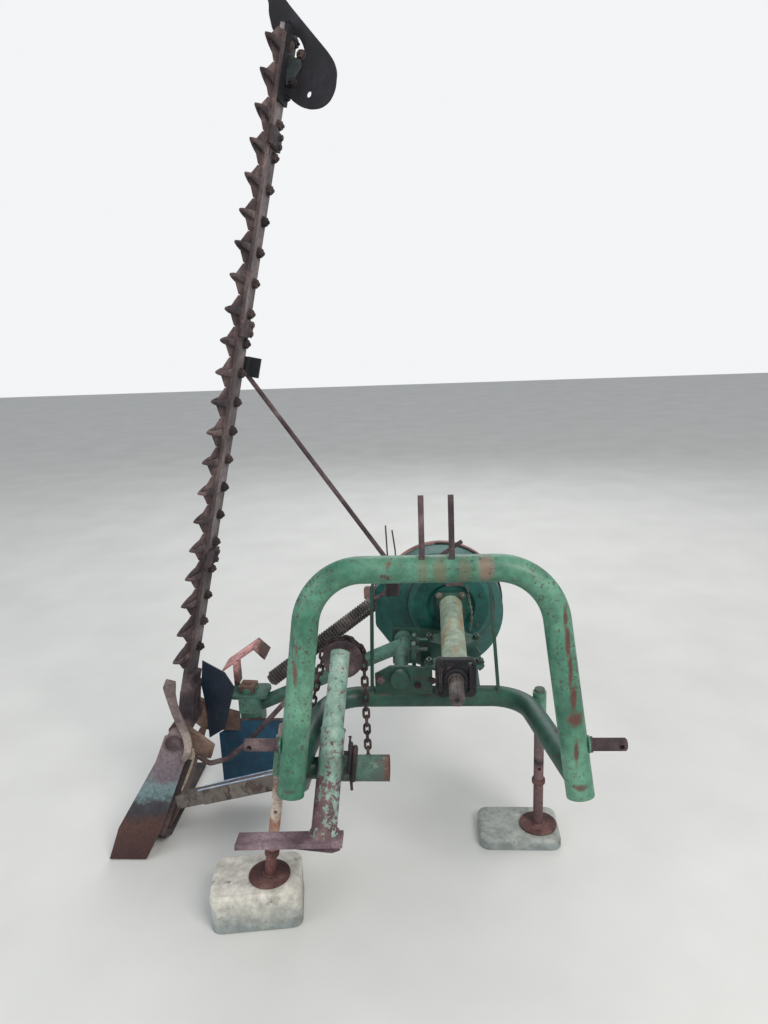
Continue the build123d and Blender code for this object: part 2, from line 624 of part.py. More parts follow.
def make_skid():
    """Flat skid strip that hangs from the hinge pin's front end and leans forward to the ground."""
    hx, hz = BAR_HINGE_X, BAR_HINGE_Z
    y = skid_front_y()
    low = SKID_THICKNESS * sin(radians(SKID_LEAN))
    outline = [(hx - 26, hz + 14), (hx + 24, hz + 10), (hx + 34, hz - 34), (SKID_FOOT_X + 44, 84),
               (SKID_FOOT_X, low), (SKID_FOOT_X - 100, low), (SKID_FOOT_X - 74, 82), (hx - 52, hz - 52)]
    strip = skid_plane() * extrude(make_face(Polyline(*skid_outline(outline), close=True)), SKID_THICKNESS)
    eye = rod((hx, y - 3, hz), (hx, y + 30, hz), KNUCKLE_R)
    return (strip + eye) - rod((hx, y - 60, hz), (hx, y + 60, hz), BAR_PIN_R)


def make_nose_strap():
    """Curved strap in front of the heel, from the guard line down past the hinge pin."""
    front_y = HEEL_Y0 - LUG_CLEARANCE - LUG_PLATE
    hx = BAR_HINGE_X
    line = FilletPolyline(*front_outline(NOSE_LINE), radius=18)
    strap = front_plane(front_y - 8) * extrude(trace(line, NOSE_WIDTH), 8)
    strap += rod((hx, front_y - 8, BAR_HINGE_Z), (hx, front_y, BAR_HINGE_Z), BAR_PIN_R + 16)
    return strap - rod((hx, 200, BAR_HINGE_Z), (hx, 700, BAR_HINGE_Z), BAR_PIN_R)


def make_side_plate():
    """Dark blue sheet between the bar and the yoke."""
    outline = [(-650, 453), (-589, 415), (-565, 369), (-603, 239), (-652, 209), (-652, 300), (-660, 377)]
    return front_plate(outline, HEEL_Y1 + LUG_CLEARANCE - SHEET, SHEET)


def make_board():
    """Blue swath board beside the shoe, hung on its rear lug and the yoke."""
    y = board_y()
    board = front_plate([(-628, 45), (-432, 45), (-424, 250), (-500, 256), (-560, 256), (-628, 212)], y, SHEET)
    flange = box(-496, -424, y + SHEET, y + SHEET + 14, 242, 248)
    return board + flange


def make_pink_shield():
    """Faded sheet shield, folded like a roof, on a bracket behind the yoke."""
    low, ridge, right = SHIELD_LINE
    outline = [low, ridge, right, (right[0] - 4, right[1] - 4), (ridge[0], ridge[1] - 6), (low[0] + 3, low[1] - 4)]
    shield = front_plate(outline, SHIELD_Y0, SHIELD_Y1 - SHIELD_Y0)
    top = low[1] + (SHIELD_BRACKET_X - low[0]) * (ridge[1] - low[1]) / (ridge[0] - low[0]) - 4
    bracket = box(SHIELD_BRACKET_X - 6, SHIELD_BRACKET_X + 6, ARM_PIPE_Y + 24, SHIELD_Y0 + 26, YOKE_Z + 10, top)
    return shield + bracket


def make_drag_strut():
    """Box bar that runs from below the left leg back and down to the inner shoe."""
    a, b = Vector(-366, 113, 313), Vector(-684, 274, 139.5)
    place = Plane(origin=a, x_dir=(b - a).cross(Vector(0, 0, 1)), z_dir=b - a)
    bar = place * (Rectangle(34, 40) - Rectangle(26, 32))
    strut = extrude(bar, (b - a).length * 0.72)
    neck = extrude(place.offset((b - a).length * 0.70) * Rectangle(30, 36), (b - a).length * 0.30)
    return largest(strut + neck - make_shoe_sole())


def make_pull_rod():
    """Bent rod from the lift chain's end to the inner shoe."""
    points = [(-305, 350, 482), (-348, 350, 438), (-398, 350, 384), (-509, 344, 266), (-560, 336, 226),
              (-612, 331, 214), (-644, 330, 240)]
    return largest(bent_tube(points, 18, 7) - make_inner_shoe() - make_nose_strap())


def make_cutter_bar():
    """Back bar with its row of pointed guards, each slotted for the knife."""
    half = BAR_WIDTH / 2
    bar = box(BAR_INNER_END, BAR_OUTER_END, -half, half, -BAR_THICKNESS, 0)
    guards = [bar]
    for i in range(GUARD_COUNT):
        guards.append(Pos(i * GUARD_PITCH, 0, 0) * make_guard())
    return bar_plane * guards[0].fuse(*guards[1:])


def make_guard():
    """One finger: wing under the bar, tapered finger, upper lip and the slot between them."""
    side = [(-12, -BAR_THICKNESS), (-12, -20), (40, -20), (GUARD_TIP, -2), (GUARD_TIP, 2), (118, 13), (66, 11),
            (62, 9), (62, 6 + KNIFE_CLEARANCE), (120, 6 + KNIFE_CLEARANCE - 1), (120, 0), (38, 0),
            (30, -BAR_THICKNESS)]
    side_place = Plane(origin=(-GUARD_WIDTH, 0, 0), x_dir=(0, 1, 0), z_dir=(1, 0, 0))
    body = plate(side_place, side, GUARD_WIDTH * 2)
    w = GUARD_WIDTH / 2
    top = [(-w - 8, -14), (w + 8, -14), (w + 8, 36), (w, 52), (w * 0.72, 96), (2.2, GUARD_TIP + 1),
           (-2.2, GUARD_TIP + 1), (-w * 0.72, 96), (-w, 52), (-w - 8, 36)]
    outline = plate(Plane(origin=(0, 0, -30), z_dir=(0, 0, 1)), top, 60)
    return body & outline


def make_knife():
    """Knife back with its triangular sections."""
    z0 = KNIFE_CLEARANCE
    z1 = z0 + KNIFE_THICKNESS
    x0 = -0.5 * GUARD_PITCH
    x1 = (GUARD_COUNT - 0.5) * GUARD_PITCH
    count = GUARD_COUNT
    points = [(x0, 40)]
    for i in range(count):
        base = x0 + i * GUARD_PITCH
        points += [(base + 1, 72), (base + GUARD_PITCH * 0.42, 108), (base + GUARD_PITCH * 0.58, 108),
                   (base + GUARD_PITCH - 1, 72)]
    points += [(x1, 40)]
    sections = plate(Plane(origin=(0, 0, z0), z_dir=(0, 0, 1)), points, KNIFE_THICKNESS)
    back = box(x0 - 6, x1, 40, 40 + KNIFE_BACK_WIDTH, z1, z1 + KNIFE_BACK_HEIGHT)
    return bar_plane * (sections + back)


def make_hold_downs():
    """Clips bolted to the bar that hold the knife down."""
    clips = []
    clear = KNIFE_CLEARANCE * 2 + KNIFE_THICKNESS + KNIFE_BACK_HEIGHT
    for i in (3, 11, 17):
        x = (i + 0.5) * GUARD_PITCH
        side = [(-34, 0), (34, 0), (36, clear), (61, clear), (61, clear + 8), (26, clear + 9), (4, 12), (-34, 10)]
        place = Plane(origin=(x - 21, 0, 0), x_dir=(0, 1, 0), z_dir=(1, 0, 0))
        clips.append(bar_plane * plate(place, side, 42))
    return clips


def make_heel():
    """Casting that joins the bar's inner end to the hinge."""
    local = box(BAR_INNER_END - 4, -70, -30, 34, 0.0, 14)
    joint_plate = bar_plane * local
    hx, hz = BAR_HINGE_X, BAR_HINGE_Z
    knuckle = rod((hx, HEEL_Y0, hz), (hx, HEEL_Y1, hz), KNUCKLE_R)
    web = front_plate([(hx - 21, hz + 6), (hx + 21, hz - 2), (-660, 364), (-653, 402), (-672, 412), (-692, 402),
                       (-698, 368)], HEEL_Y0 + 34, HEEL_Y1 - HEEL_Y0 - 40)
    heel = joint_plate + knuckle + web
    back = bar_plane * box(BAR_INNER_END, BAR_OUTER_END, -BAR_WIDTH / 2, BAR_WIDTH / 2, -BAR_THICKNESS, 0)
    return (heel - back) - rod((hx, 200, hz), (hx, 700, hz), BAR_PIN_R + RUNNING_FIT)


def make_outer_shoe():
    """Dark plate at the bar's outer end, with its teardrop opening and its bracket."""
    # Local plate frame: x along the bar, y away from the bar's upper side
    place = Plane(origin=bar_plane.from_local_coords(Vector(0, -4, 0)), x_dir=bar_u, z_dir=bar_g * -1)
    arc = [(1413 + 52 - 52 * cos(radians(a)), 84 + 52 * sin(radians(a))) for a in range(0, 91, 10)]
    outline = [(1437, 0), (1437, 14), (1424, 36), (1413, 62)] + arc + [
        (1538, 117), (1652, -26), (1690, -56), (1690, -84), (1664, -84), (1644, -68), (1604, -34), (1592, 0)]
    body = plate(place, outline, 8)
    opening = make_face(Polyline((1528, 10), (1528, 42), (1552, 47), (1586, 10), close=True))
    body -= place.offset(-2) * extrude(fillet(opening.vertices(), 7), 12)
    hole = place.from_local_coords(Vector(1448, 73, -5))
    body -= rod(tuple(hole), tuple(hole + bar_g * -20), 7)
    foot = bar_plane * box(1420, 1590, -34, 34, 0, 9)
    return body + foot


def make_stay_bracket():
    """Lug on the bar's back that the stay rod's hook sits behind."""
    x = 781
    back = (STAY_EYE_Y - STAY_EYE_WIDTH / 2 - STAY_GAP - bar_plane.from_local_coords(Vector(x + 26, 0, -6)).Y) / bar_g.Y
    lug = box(x - 26, x + 26, back + 10, -30, 0, 10) + box(x - 26, x + 26, back, back + 10, -6, 30)
    return bar_plane * lug


def stay_points():
    anchor = Vector(STAY_ANCHOR[0], STAY_EYE_Y, STAY_ANCHOR[1])
    top = Vector(STAY_TOP[0], STAY_EYE_Y, STAY_TOP[1])
    return anchor, top


def make_stay_rod():
    anchor, top = stay_points()
    body = rod(tuple(anchor), tuple(top), STAY_R)
    eye = rod((anchor.X, STAY_EYE_Y - 9, anchor.Z), (anchor.X, STAY_EYE_Y + 9, anchor.Z), 17)
    half = STAY_EYE_WIDTH / 2
    hook = rod((top.X, STAY_EYE_Y - half, top.Z), (top.X, STAY_EYE_Y + half, top.Z), 15)
    hook -= rod((top.X, STAY_EYE_Y - 18, top.Z), (top.X, STAY_EYE_Y + 18, top.Z), 7)
    return (body + eye + hook) - rod((anchor.X, 500, anchor.Z), (anchor.X, 700, anchor.Z), 8 + RUNNING_FIT) \
        - rod((top.X, 500, top.Z), (top.X, 700, top.Z), 7)


def make_stay_anchor():
    """Post and stud on the hoop that hold the stay rod's lower eye."""
    anchor = stay_points()[0]
    stud = rod((anchor.X, STAY_EYE_Y - 24, anchor.Z), (anchor.X, STAY_EYE_Y + 22, anchor.Z), 8)
    washer = rod((anchor.X, STAY_EYE_Y + 12, anchor.Z), (anchor.X, STAY_EYE_Y + 22, anchor.Z), 14)
    post = box(anchor.X - 16, anchor.X + 16, 398, STAY_EYE_Y - 14, anchor.Z - 8, anchor.Z + 8)
    riser = box(anchor.X - 16, anchor.X + 16, 398, 410, anchor.Z - 8, HOOP_TOP)
    return largest(stud + washer + post + riser - make_hoop())


def make_spring_rod():
    """Straight rod from the spring's upper end across the drum's face to its lug."""
    a, b = (-170, 608, 574), (92, 634, 742)
    body = rod(a, b, 6)
    lug = box(56, 68, 420, 640, 700, 716)
    return body + (largest(box(40, 84, 400, 424, 690, 745) - make_hoop()) + lug)


def make_spring():
    return rod(SPRING_TOP, SPRING_LOW, SPRING_R, SPRING_R - 7)


def make_lever_mount():
    """Plate behind the left leg with the shaft that the lift lever turns on."""
    y, z = LEVER_PIVOT_Y, LEVER_PIVOT_Z
    arm = Plane(origin=(-304, 0, 0), x_dir=(0, 1, 0), z_dir=(1, 0, 0)) * extrude(
        make_face(Polyline((-20, z + 10), (y - 40, z - 30), (y + 6, z - 34), (y + 30, z - 20), (y + 34, z + 18), (y + 6, z + 34),
                           (-20, z + 48), close=True)), 14)
    shaft = rod((-292, y, z), (LEVER_SLEEVE_X1 - 40, y, z), LEVER_SLEEVE_BORE - RUNNING_FIT)
    bow = bent_tube(bow_path_points(), BOW_BEND, BOW_TUBE_R)
    return (arm + shaft) - make_hitch_arch() - bow


def lever_point(t):
    return Vector(*LEVER_FOOT) * (1 - t) + Vector(*LEVER_TOP) * t


def make_lever():
    """Lift lever: lower tube, slimmer upper tube, cross sleeve and gusset."""
    y, z = LEVER_PIVOT_Y, LEVER_PIVOT_Z
    joint = lever_point(LEVER_JOINT_SHARE)
    foot = Vector(*LEVER_FOOT)
    along = (joint - foot).normalized()
    lower = rod(tuple(foot - along * 60), tuple(joint), LEVER_R)
    upper = rod(tuple(lever_point(LEVER_JOINT_SHARE - 0.05)), LEVER_TOP, LEVER_UPPER_R)
    sleeve = rod((LEVER_SLEEVE_X0, y, z), (LEVER_SLEEVE_X1, y, z), LEVER_SLEEVE_R)
    lever = lower + upper + sleeve
    # Gusset on the left side at the tubes' joint
    p = lever_point(LEVER_JOINT_SHARE - 0.1)
    q = lever_point(LEVER_JOINT_SHARE + 0.16)
    lever += rod(tuple(p + Vector(-11, 0, 0)), tuple(q + Vector(-8, 0, 0)), LEVER_GUSSET_R)
    lever -= rod((LEVER_SLEEVE_X0 - 40, y, z), (LEVER_SLEEVE_X1 + 1, y, z), LEVER_SLEEVE_BORE)
    # The lower tube ends flush on the foot channel, and the pulley's pin is welded in the top
    lever -= foot_place() * Box(400, 400, 200, align=(Align.CENTER, Align.CENTER, Align.MAX))
    return lever + make_pulley_pin()


def foot_place():
    """Top of the lever's foot plate, which is nearly level."""
    foot = Vector(*LEVER_FOOT)
    return Plane(origin=foot + Vector(-72, -32, -4), x_dir=(1, 0.06, 0.07), z_dir=(0, 0.12, 0.99))


def make_lever_foot():
    """Plate across the lever's lower end, with a tapered web under it."""
    place = foot_place()
    half = FOOT_LENGTH / 2
    top = Box(FOOT_LENGTH, FOOT_DEPTH, FOOT_WALL, align=(Align.CENTER, Align.CENTER, Align.MAX))
    outline = [(half - 2, -FOOT_WALL), (half - 8, -FOOT_HEIGHT + 6), (half - 26, -FOOT_HEIGHT), (-half + 60, -FOOT_WALL - 14),
               (-half + 10, -FOOT_WALL)]
    web = plate(Plane(origin=(0, FOOT_DEPTH / 2 - 8, 0), x_dir=(1, 0, 0), z_dir=(0, -1, 0)), outline, 10)
    return place * (top + web)


def pulley_centre():
    """Middle of the pulley's front face, behind the lever's top."""
    top = Vector(*LEVER_TOP)
    return Vector(top.X, top.Y + LEVER_UPPER_R + PULLEY_GAP, top.Z - PULLEY_DROP)


def make_pulley_pin():
    c = pulley_centre()
    return rod((c.X, c.Y - 70, c.Z), (c.X, c.Y + PULLEY_WIDTH + 12, c.Z), PULLEY_PIN_R)


def make_pulley():
    """Grooved wheel at the lever's top."""
    c = pulley_centre()
    w = PULLEY_WIDTH
    flange = PULLEY_FLANGE
    section = [(PULLEY_PIN_R + RUNNING_FIT, 0), (PULLEY_R, 0), (PULLEY_R, flange), (PULLEY_GROOVE_R, flange),
               (PULLEY_GROOVE_R, w - flange), (PULLEY_R, w - flange), (PULLEY_R, w), (PULLEY_PIN_R + RUNNING_FIT, w)]
    wheel = revolve(make_face(Polyline(*section, close=True)), Axis.Y)
    return Pos(c.X, c.Y, c.Z) * wheel


def make_chain():
    """Lift chain: links of round wire over the pulley, each turned a quarter from the last."""
    c = pulley_centre() + Vector(0, PULLEY_WIDTH / 2, 0)
    left, right = c - Vector(CHAIN_WRAP_R, 0, 0), c + Vector(CHAIN_WRAP_R, 0, 0)
    left_end = left + Vector(CHAIN_LEFT_DROP[0], 0, -CHAIN_LEFT_DROP[1])
    right_end = right + Vector(CHAIN_RIGHT_DROP[0], 0, -CHAIN_RIGHT_DROP[1])
    path = Wire([Line(left_end, left), ThreePointArc(left, c + Vector(0, 0, CHAIN_WRAP_R), right),
                 Line(right, right_end)])
    count = int(path.length / CHAIN_PITCH)
    links = []
    for i in range(count):
        a, b = path @ (i / count), path @ ((i + 1) / count)
        direction = (b - a).normalized()
        flat = direction.cross(Vector(0, 1, 0)).normalized()
        links.append(make_link((a + b) / 2, direction, flat if i % 2 else Vector(0, 1, 0)))
    return links[0].fuse(*links[1:])


def make_link(centre, direction, side):
    length = CHAIN_PITCH + 2 * CHAIN_WIRE
    place = Plane(origin=centre, x_dir=direction, z_dir=direction.cross(side))
    ring = SlotOverall(length, CHAIN_WIDTH) - SlotOverall(length - 2 * CHAIN_WIRE, CHAIN_WIDTH - 2 * CHAIN_WIRE)
    return extrude(place * ring, CHAIN_WIRE / 2, both=True)


def stand_line(spot, top, block_top, lean=(0, 0, 1)):
    """Foot and top of a stand's axis, from its foot's spot on a block."""
    foot = Vector(spot[0], spot[1], block_top + STAND_REST_GAP)
    along = unit(lean)
    return foot, foot + along * ((top - foot.Z) / along.Z)


def make_stand(foot, top):
    """Stand tube with its level disc foot."""
    along = (top - foot).normalized()
    disc = Pos(foot.X, foot.Y, foot.Z) * Cylinder(STAND_DISC_R, STAND_DISC_THICKNESS,
                                                  align=(Align.CENTER, Align.CENTER, Align.MIN))
    tube = rod(tuple(foot + along * STAND_DISC_THICKNESS * 0.8), tuple(top), STAND_TUBE_R)
    hole = foot + along * 175
    return disc + tube - rod((hole.X, hole.Y - 40, hole.Z), (hole.X, hole.Y + 40, hole.Z), 5)


def stand_bore(foot, top, extra=0.0):
    """The stand's running space through what holds it."""
    return rod(tuple(foot), tuple(top), STAND_TUBE_R + STAND_FIT + extra)


def make_stand_sleeve(foot, top, z0, z1):
    along = (top - foot).normalized()
    a, b = (foot + along * ((z - foot.Z) / along.Z) for z in (z0, z1))
    r = STAND_TUBE_R + STAND_FIT
    return rod(tuple(a), tuple(b), r + STAND_SLEEVE_WALL, r)


def make_left_sleeve():
    foot, top = stand_line(LEFT_STAND, LEFT_STAND_TOP, LEFT_BLOCK_TOP, LEFT_STAND_LEAN)
    sleeve = make_stand_sleeve(foot, top, 360, 452)
    middle = sleeve.center()
    lug = box(-346, -296, middle.Y - 14, middle.Y + 12, 384, 430) - stand_bore(foot, top, 1)
    return largest((sleeve + lug) - make_hitch_arch() - bent_tube(bow_path_points(), BOW_BEND, BOW_TUBE_R))


def make_right_sleeve():
    foot, top = stand_line(RIGHT_STAND, RIGHT_STAND_TOP, RIGHT_BLOCK_TOP)
    sleeve = make_stand_sleeve(foot, top, 352, 424)
    lug = box(foot.X - 44, foot.X - 6, foot.Y - 36, foot.Y - 2, 384, 410) - stand_bore(foot, top, 1)
    return largest((sleeve + lug) - bent_tube(bow_path_points(), BOW_BEND, BOW_TUBE_R))


def make_block(spot, top, turn=0.0):
    """Squat block with rounded corners under a stand."""
    block = Box(BLOCK_WIDTH, BLOCK_DEPTH, top, align=(Align.CENTER, Align.CENTER, Align.MIN))
    block = fillet(block.edges().filter_by(Axis.Z), 26)
    block = fillet(block.edges().group_by(Axis.Z)[-1], 9)
    return Pos(spot[0], spot[1], 0) * (Rot(0, 0, turn) * block)


def build_nodes():
    """Every node's name and its solids, in the modelling frame."""
    return {
        "hitch_arch": make_hitch_arch(),
        "hitch_pins": [make_hitch_pin(-1), make_hitch_pin(1)],
        "top_link_lugs": make_top_link_lugs(),
        "rear_bow": make_rear_bow(),
        "pto_plate": make_pto_plate(),
        "pto_tube": make_pto_tube(),
        "drum_housing": make_drum_housing(),
        "rear_cover": make_rear_cover(),
        "drive_cradle": make_drive_cradle(),
        "guard_hoop": make_hoop(),
        "pivot_bracket": make_pivot_bracket(),
        "pivot_pin": make_pivot_pin(),
        "adjuster": make_adjuster(),
        "stay_anchor": make_stay_anchor(),
        "spring_rod": make_spring_rod(),
        "lever_mount": make_lever_mount(),
        "stand_sleeves": [make_left_sleeve(), make_right_sleeve()],
        "ground_blocks": [make_block(LEFT_BLOCK, LEFT_BLOCK_TOP, LEFT_BLOCK_TURN),
                          make_block(RIGHT_BLOCK, RIGHT_BLOCK_TOP)],
        "pto_shaft": make_pto_shaft(),
        "flywheel": make_flywheel(),
        "lift_lever": make_lever(),
        "lever_foot": make_lever_foot(),
        "lift_chain": make_chain(),
        "pulley": make_pulley(),
        "arm": make_arm() + make_yoke(),
        "inner_shoe": make_inner_shoe(),
        "shoe_sole": make_shoe_sole(),
        "bar_pin": make_bar_pin(),
        "skid": make_skid(),
        "nose_strap": make_nose_strap(),
        "side_plate": make_side_plate(),
        "swath_board": make_board(),
        "pink_shield": make_pink_shield(),
        "drag_strut": make_drag_strut(),
        "pull_rod": make_pull_rod(),
        "cutter_bar": make_cutter_bar(),
        "bar_heel": make_heel(),
        "hold_downs": make_hold_downs(),
        "outer_shoe": make_outer_shoe(),
        "stay_bracket": make_stay_bracket(),
        "knife": make_knife(),
        "stay_rod": make_stay_rod(),
        "left_stand": make_stand(*stand_line(LEFT_STAND, LEFT_STAND_TOP, LEFT_BLOCK_TOP, LEFT_STAND_LEAN)),
        "right_stand": make_stand(*stand_line(RIGHT_STAND, RIGHT_STAND_TOP, RIGHT_BLOCK_TOP)),
        "lift_spring": make_spring(),
    }


def as_shape(made):
    """One shape for a node, with only its solids."""
    pieces = made if isinstance(made, list) else [made]
    solids = [solid for piece in pieces for solid in piece.solids()]
    return solids[0] if len(solids) == 1 else Compound(children=solids)


def main():
    os.makedirs("parts", exist_ok=True)
    shapes = {name: as_shape(made) for name, made in build_nodes().items()}
    boxes = [shape.bounding_box() for shape in shapes.values()]
    low = [min(getattr(b.min, axis) for b in boxes) for axis in "XYZ"]
    high = [max(getattr(b.max, axis) for b in boxes) for axis in "XYZ"]
    shift = Pos(-(low[0] + high[0]) / 2, -(low[1] + high[1]) / 2, -low[2])
    print("shift", shift.position)
    for name, shape in shapes.items():
        export_step(shift * shape, f"parts/{name}.step")


if __name__ == "__main__":
    main()
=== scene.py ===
"""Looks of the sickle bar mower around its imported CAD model, in metres, in the model's own frame."""

import json
import math
import random

import bmesh
import bpy
import numpy as np
from mathutils import Matrix, Vector
from mathutils.geometry import tessellate_polygon

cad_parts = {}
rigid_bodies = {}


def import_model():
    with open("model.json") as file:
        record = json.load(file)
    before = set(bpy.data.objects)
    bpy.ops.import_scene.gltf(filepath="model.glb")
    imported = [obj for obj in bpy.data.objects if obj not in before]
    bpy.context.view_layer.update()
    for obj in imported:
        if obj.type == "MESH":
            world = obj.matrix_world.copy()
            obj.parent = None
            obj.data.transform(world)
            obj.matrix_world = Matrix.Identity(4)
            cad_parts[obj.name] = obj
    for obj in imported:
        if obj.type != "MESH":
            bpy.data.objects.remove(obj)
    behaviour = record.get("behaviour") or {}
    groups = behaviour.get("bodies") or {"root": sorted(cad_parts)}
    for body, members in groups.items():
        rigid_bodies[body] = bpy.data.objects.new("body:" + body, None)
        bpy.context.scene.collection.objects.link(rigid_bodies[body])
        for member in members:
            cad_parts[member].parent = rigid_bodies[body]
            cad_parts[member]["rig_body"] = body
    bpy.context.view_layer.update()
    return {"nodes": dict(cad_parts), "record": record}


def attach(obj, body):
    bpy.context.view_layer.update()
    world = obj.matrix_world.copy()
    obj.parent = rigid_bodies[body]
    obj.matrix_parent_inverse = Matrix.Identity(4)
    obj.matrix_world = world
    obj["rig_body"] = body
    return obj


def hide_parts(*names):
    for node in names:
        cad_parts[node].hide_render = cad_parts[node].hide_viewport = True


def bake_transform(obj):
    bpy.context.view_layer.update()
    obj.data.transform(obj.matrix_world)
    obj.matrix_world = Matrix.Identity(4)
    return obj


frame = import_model()
nodes = frame["nodes"]
rng = random.Random(11)

# The machine's own frame, in millimetres: X = 0 between the hitch pins, Y = 0 on
# their axis, Z = 0 at the ground. The left hitch pin's mount gives its place here.
pin_mount = next(m for m in frame["record"]["mounts"] if m["name"] == "left_hitch_pin")
SHIFT = Vector(pin_mount["pos_m"]) - Vector((-0.377, 0.0, 0.471))


def at(x, y, z):
    """Point of the machine's frame, in millimetres, as a point of the scene."""
    return Vector((x, y, z)) / 1000 + SHIFT


# Bar's local frame: x outward along it, y forward to the tips, z its upper side in work
BAR_U = Vector((0.21935, 0.07184, 0.97300)).normalized()
BAR_YAW = math.radians(10)
yaw_line = Vector((-math.sin(BAR_YAW), -math.cos(BAR_YAW), 0))
BAR_G = (yaw_line - BAR_U * yaw_line.dot(BAR_U)).normalized()
BAR_N = BAR_U.cross(BAR_G)
GUARD_PITCH = 76.2
GUARD_COUNT = 21


def frame_matrix(origin, x_dir, y_dir, z_dir):
    """Matrix of a local frame whose units are millimetres."""
    m = Matrix.Identity(4)
    for i, axis in enumerate((x_dir, y_dir, z_dir)):
        axis = Vector(axis) / 1000
        m[0][i], m[1][i], m[2][i] = axis
    m[0][3], m[1][3], m[2][3] = origin
    return m


BAR = frame_matrix(at(-652.3, 438.9, 507.9), BAR_U, BAR_G, BAR_N)
MACHINE = frame_matrix(at(0, 0, 0), (1, 0, 0), (0, 1, 0), (0, 0, 1))


def looking(origin, z_dir, x_hint=(1, 0, 0)):
    """Local millimetre frame at a point of the machine, with its z along z_dir."""
    z = Vector(z_dir).normalized()
    x = Vector(x_hint)
    x = (x - z * x.dot(z)).normalized()
    return frame_matrix(at(*origin), x, z.cross(x), z)


# Shapes

class Form:
    """Points and faces of one piece, gathered from simple forms in millimetres."""

    def __init__(self):
        self.points = []
        self.faces = []

    def add(self, points, faces, place=MACHINE):
        start = len(self.points)
        self.points += [place @ Vector(p) for p in points]
        self.faces += [tuple(start + i for i in f) for f in faces]
        return self

    def tube(self, path, radius, sides=20, closed=False, place=MACHINE, radii=None, caps=True):
        """Round bar along points; radii gives its own radius at each point."""
        pts = [Vector(p) for p in path]
        n = len(pts)
        tangents = []
        for i in range(n):
            before = pts[i - 1] if i > 0 or closed else pts[i]
            after = pts[(i + 1) % n] if i < n - 1 or closed else pts[i]
            tangents.append((after - before).normalized())
        side = tangents[0].orthogonal().normalized()
        rings = []
        for i in range(n):
            side = (side - tangents[i] * side.dot(tangents[i])).normalized()
            up = tangents[i].cross(side)
            r = radii[i] if radii else radius
            rings.append([pts[i] + (side * math.cos(t) + up * math.sin(t)) * r
                          for t in (2 * math.pi * k / sides for k in range(sides))])
        faces = []
        for i in range(n if closed else n - 1):
            a, b = i * sides, ((i + 1) % n) * sides
            for k in range(sides):
                faces.append((a + k, a + (k + 1) % sides, b + (k + 1) % sides, b + k))
        points = [p for ring in rings for p in ring]
        if not closed and caps:
            faces.append(tuple(reversed(range(sides))))
            faces.append(tuple(range((n - 1) * sides, n * sides)))
        return self.add(points, faces, place)

    def lathe(self, profile, sides=48, place=MACHINE, closed=False):
        """Profile of (radius, height) turned about local z; closed joins its ends."""
        points, faces = [], []
        n = len(profile)
        for r, h in profile:
            for k in range(sides):
                t = 2 * math.pi * k / sides
                points.append((r * math.cos(t), r * math.sin(t), h))
        for i in range(n if closed else n - 1):
            a, b = i * sides, ((i + 1) % n) * sides
            for k in range(sides):
                faces.append((a + k, a + (k + 1) % sides, b + (k + 1) % sides, b + k))
        if not closed:
            faces.append(tuple(reversed(range(sides))))
            faces.append(tuple(range((n - 1) * sides, n * sides)))
        return self.add(points, faces, place)

    def prism(self, outline, low, high, place=MACHINE):
        """Outline in local x and y, from z = low to high."""
        n = len(outline)
        points = [(x, y, low) for x, y in outline] + [(x, y, high) for x, y in outline]
        faces = [tuple(reversed(range(n))), tuple(range(n, 2 * n))]
        faces += [(i, (i + 1) % n, n + (i + 1) % n, n + i) for i in range(n)]
        return self.add(points, faces, place)

    def block(self, x0, x1, y0, y1, z0, z1, place=MACHINE):
        return self.prism([(x0, y0), (x1, y0), (x1, y1), (x0, y1)], z0, z1, place)

    def loft(self, sections, place=MACHINE):
        """Closed rings with equal counts, joined one to the next and capped."""
        n = len(sections[0])
        points = [p for s in sections for p in s]
        faces = [tuple(reversed(range(n))), tuple(range((len(sections) - 1) * n, len(sections) * n))]
        for i in range(len(sections) - 1):
            a, b = i * n, (i + 1) * n
            faces += [(a + k, a + (k + 1) % n, b + (k + 1) % n, b + k) for k in range(n)]
        return self.add(points, faces, place)

    def bolt(self, place, across=17, height=7, washer=True, thread=6, dome=False):
        """Hex head or nut on its washer, standing on the local xy plane."""
        r = across / 2 / math.cos(math.pi / 6)
        base = 0
        if washer:
            self.lathe([(r * 1.22, 0), (r * 1.25, 0.6), (r * 1.25, 1.6), (r * 1.18, 2.2)], 20, place)
            base = 2
        if dome:
            self.lathe([(r, base), (r * 0.98, base + height * 0.35), (r * 0.8, base + height * 0.75),
                        (r * 0.45, base + height * 0.97)], 18, place)
            return self
        hexagon = [(r * math.cos(math.pi / 3 * k), r * math.sin(math.pi / 3 * k)) for k in range(6)]
        inner = [(x * 0.86, y * 0.86) for x, y in hexagon]
        self.loft([[(x, y, base) for x, y in hexagon], [(x, y, base + height * 0.82) for x, y in hexagon],
                   [(x, y, base + height) for x, y in inner]], place)
        if thread:
            self.lathe([(thread * 0.5, base + height - 1), (thread * 0.5, base + height + 4),
                        (thread * 0.4, base + height + 5)], 12, place)
        return self

    def weld(self, path, size=5.0, closed=False, place=MACHINE, seed=1):
        """Weld bead along points: a tube with uneven ripples."""
        rnd = random.Random(seed)
        radii = [size * (0.82 + 0.3 * rnd.random()) for _ in path]
        return self.tube(path, size, 8, closed, place, radii)


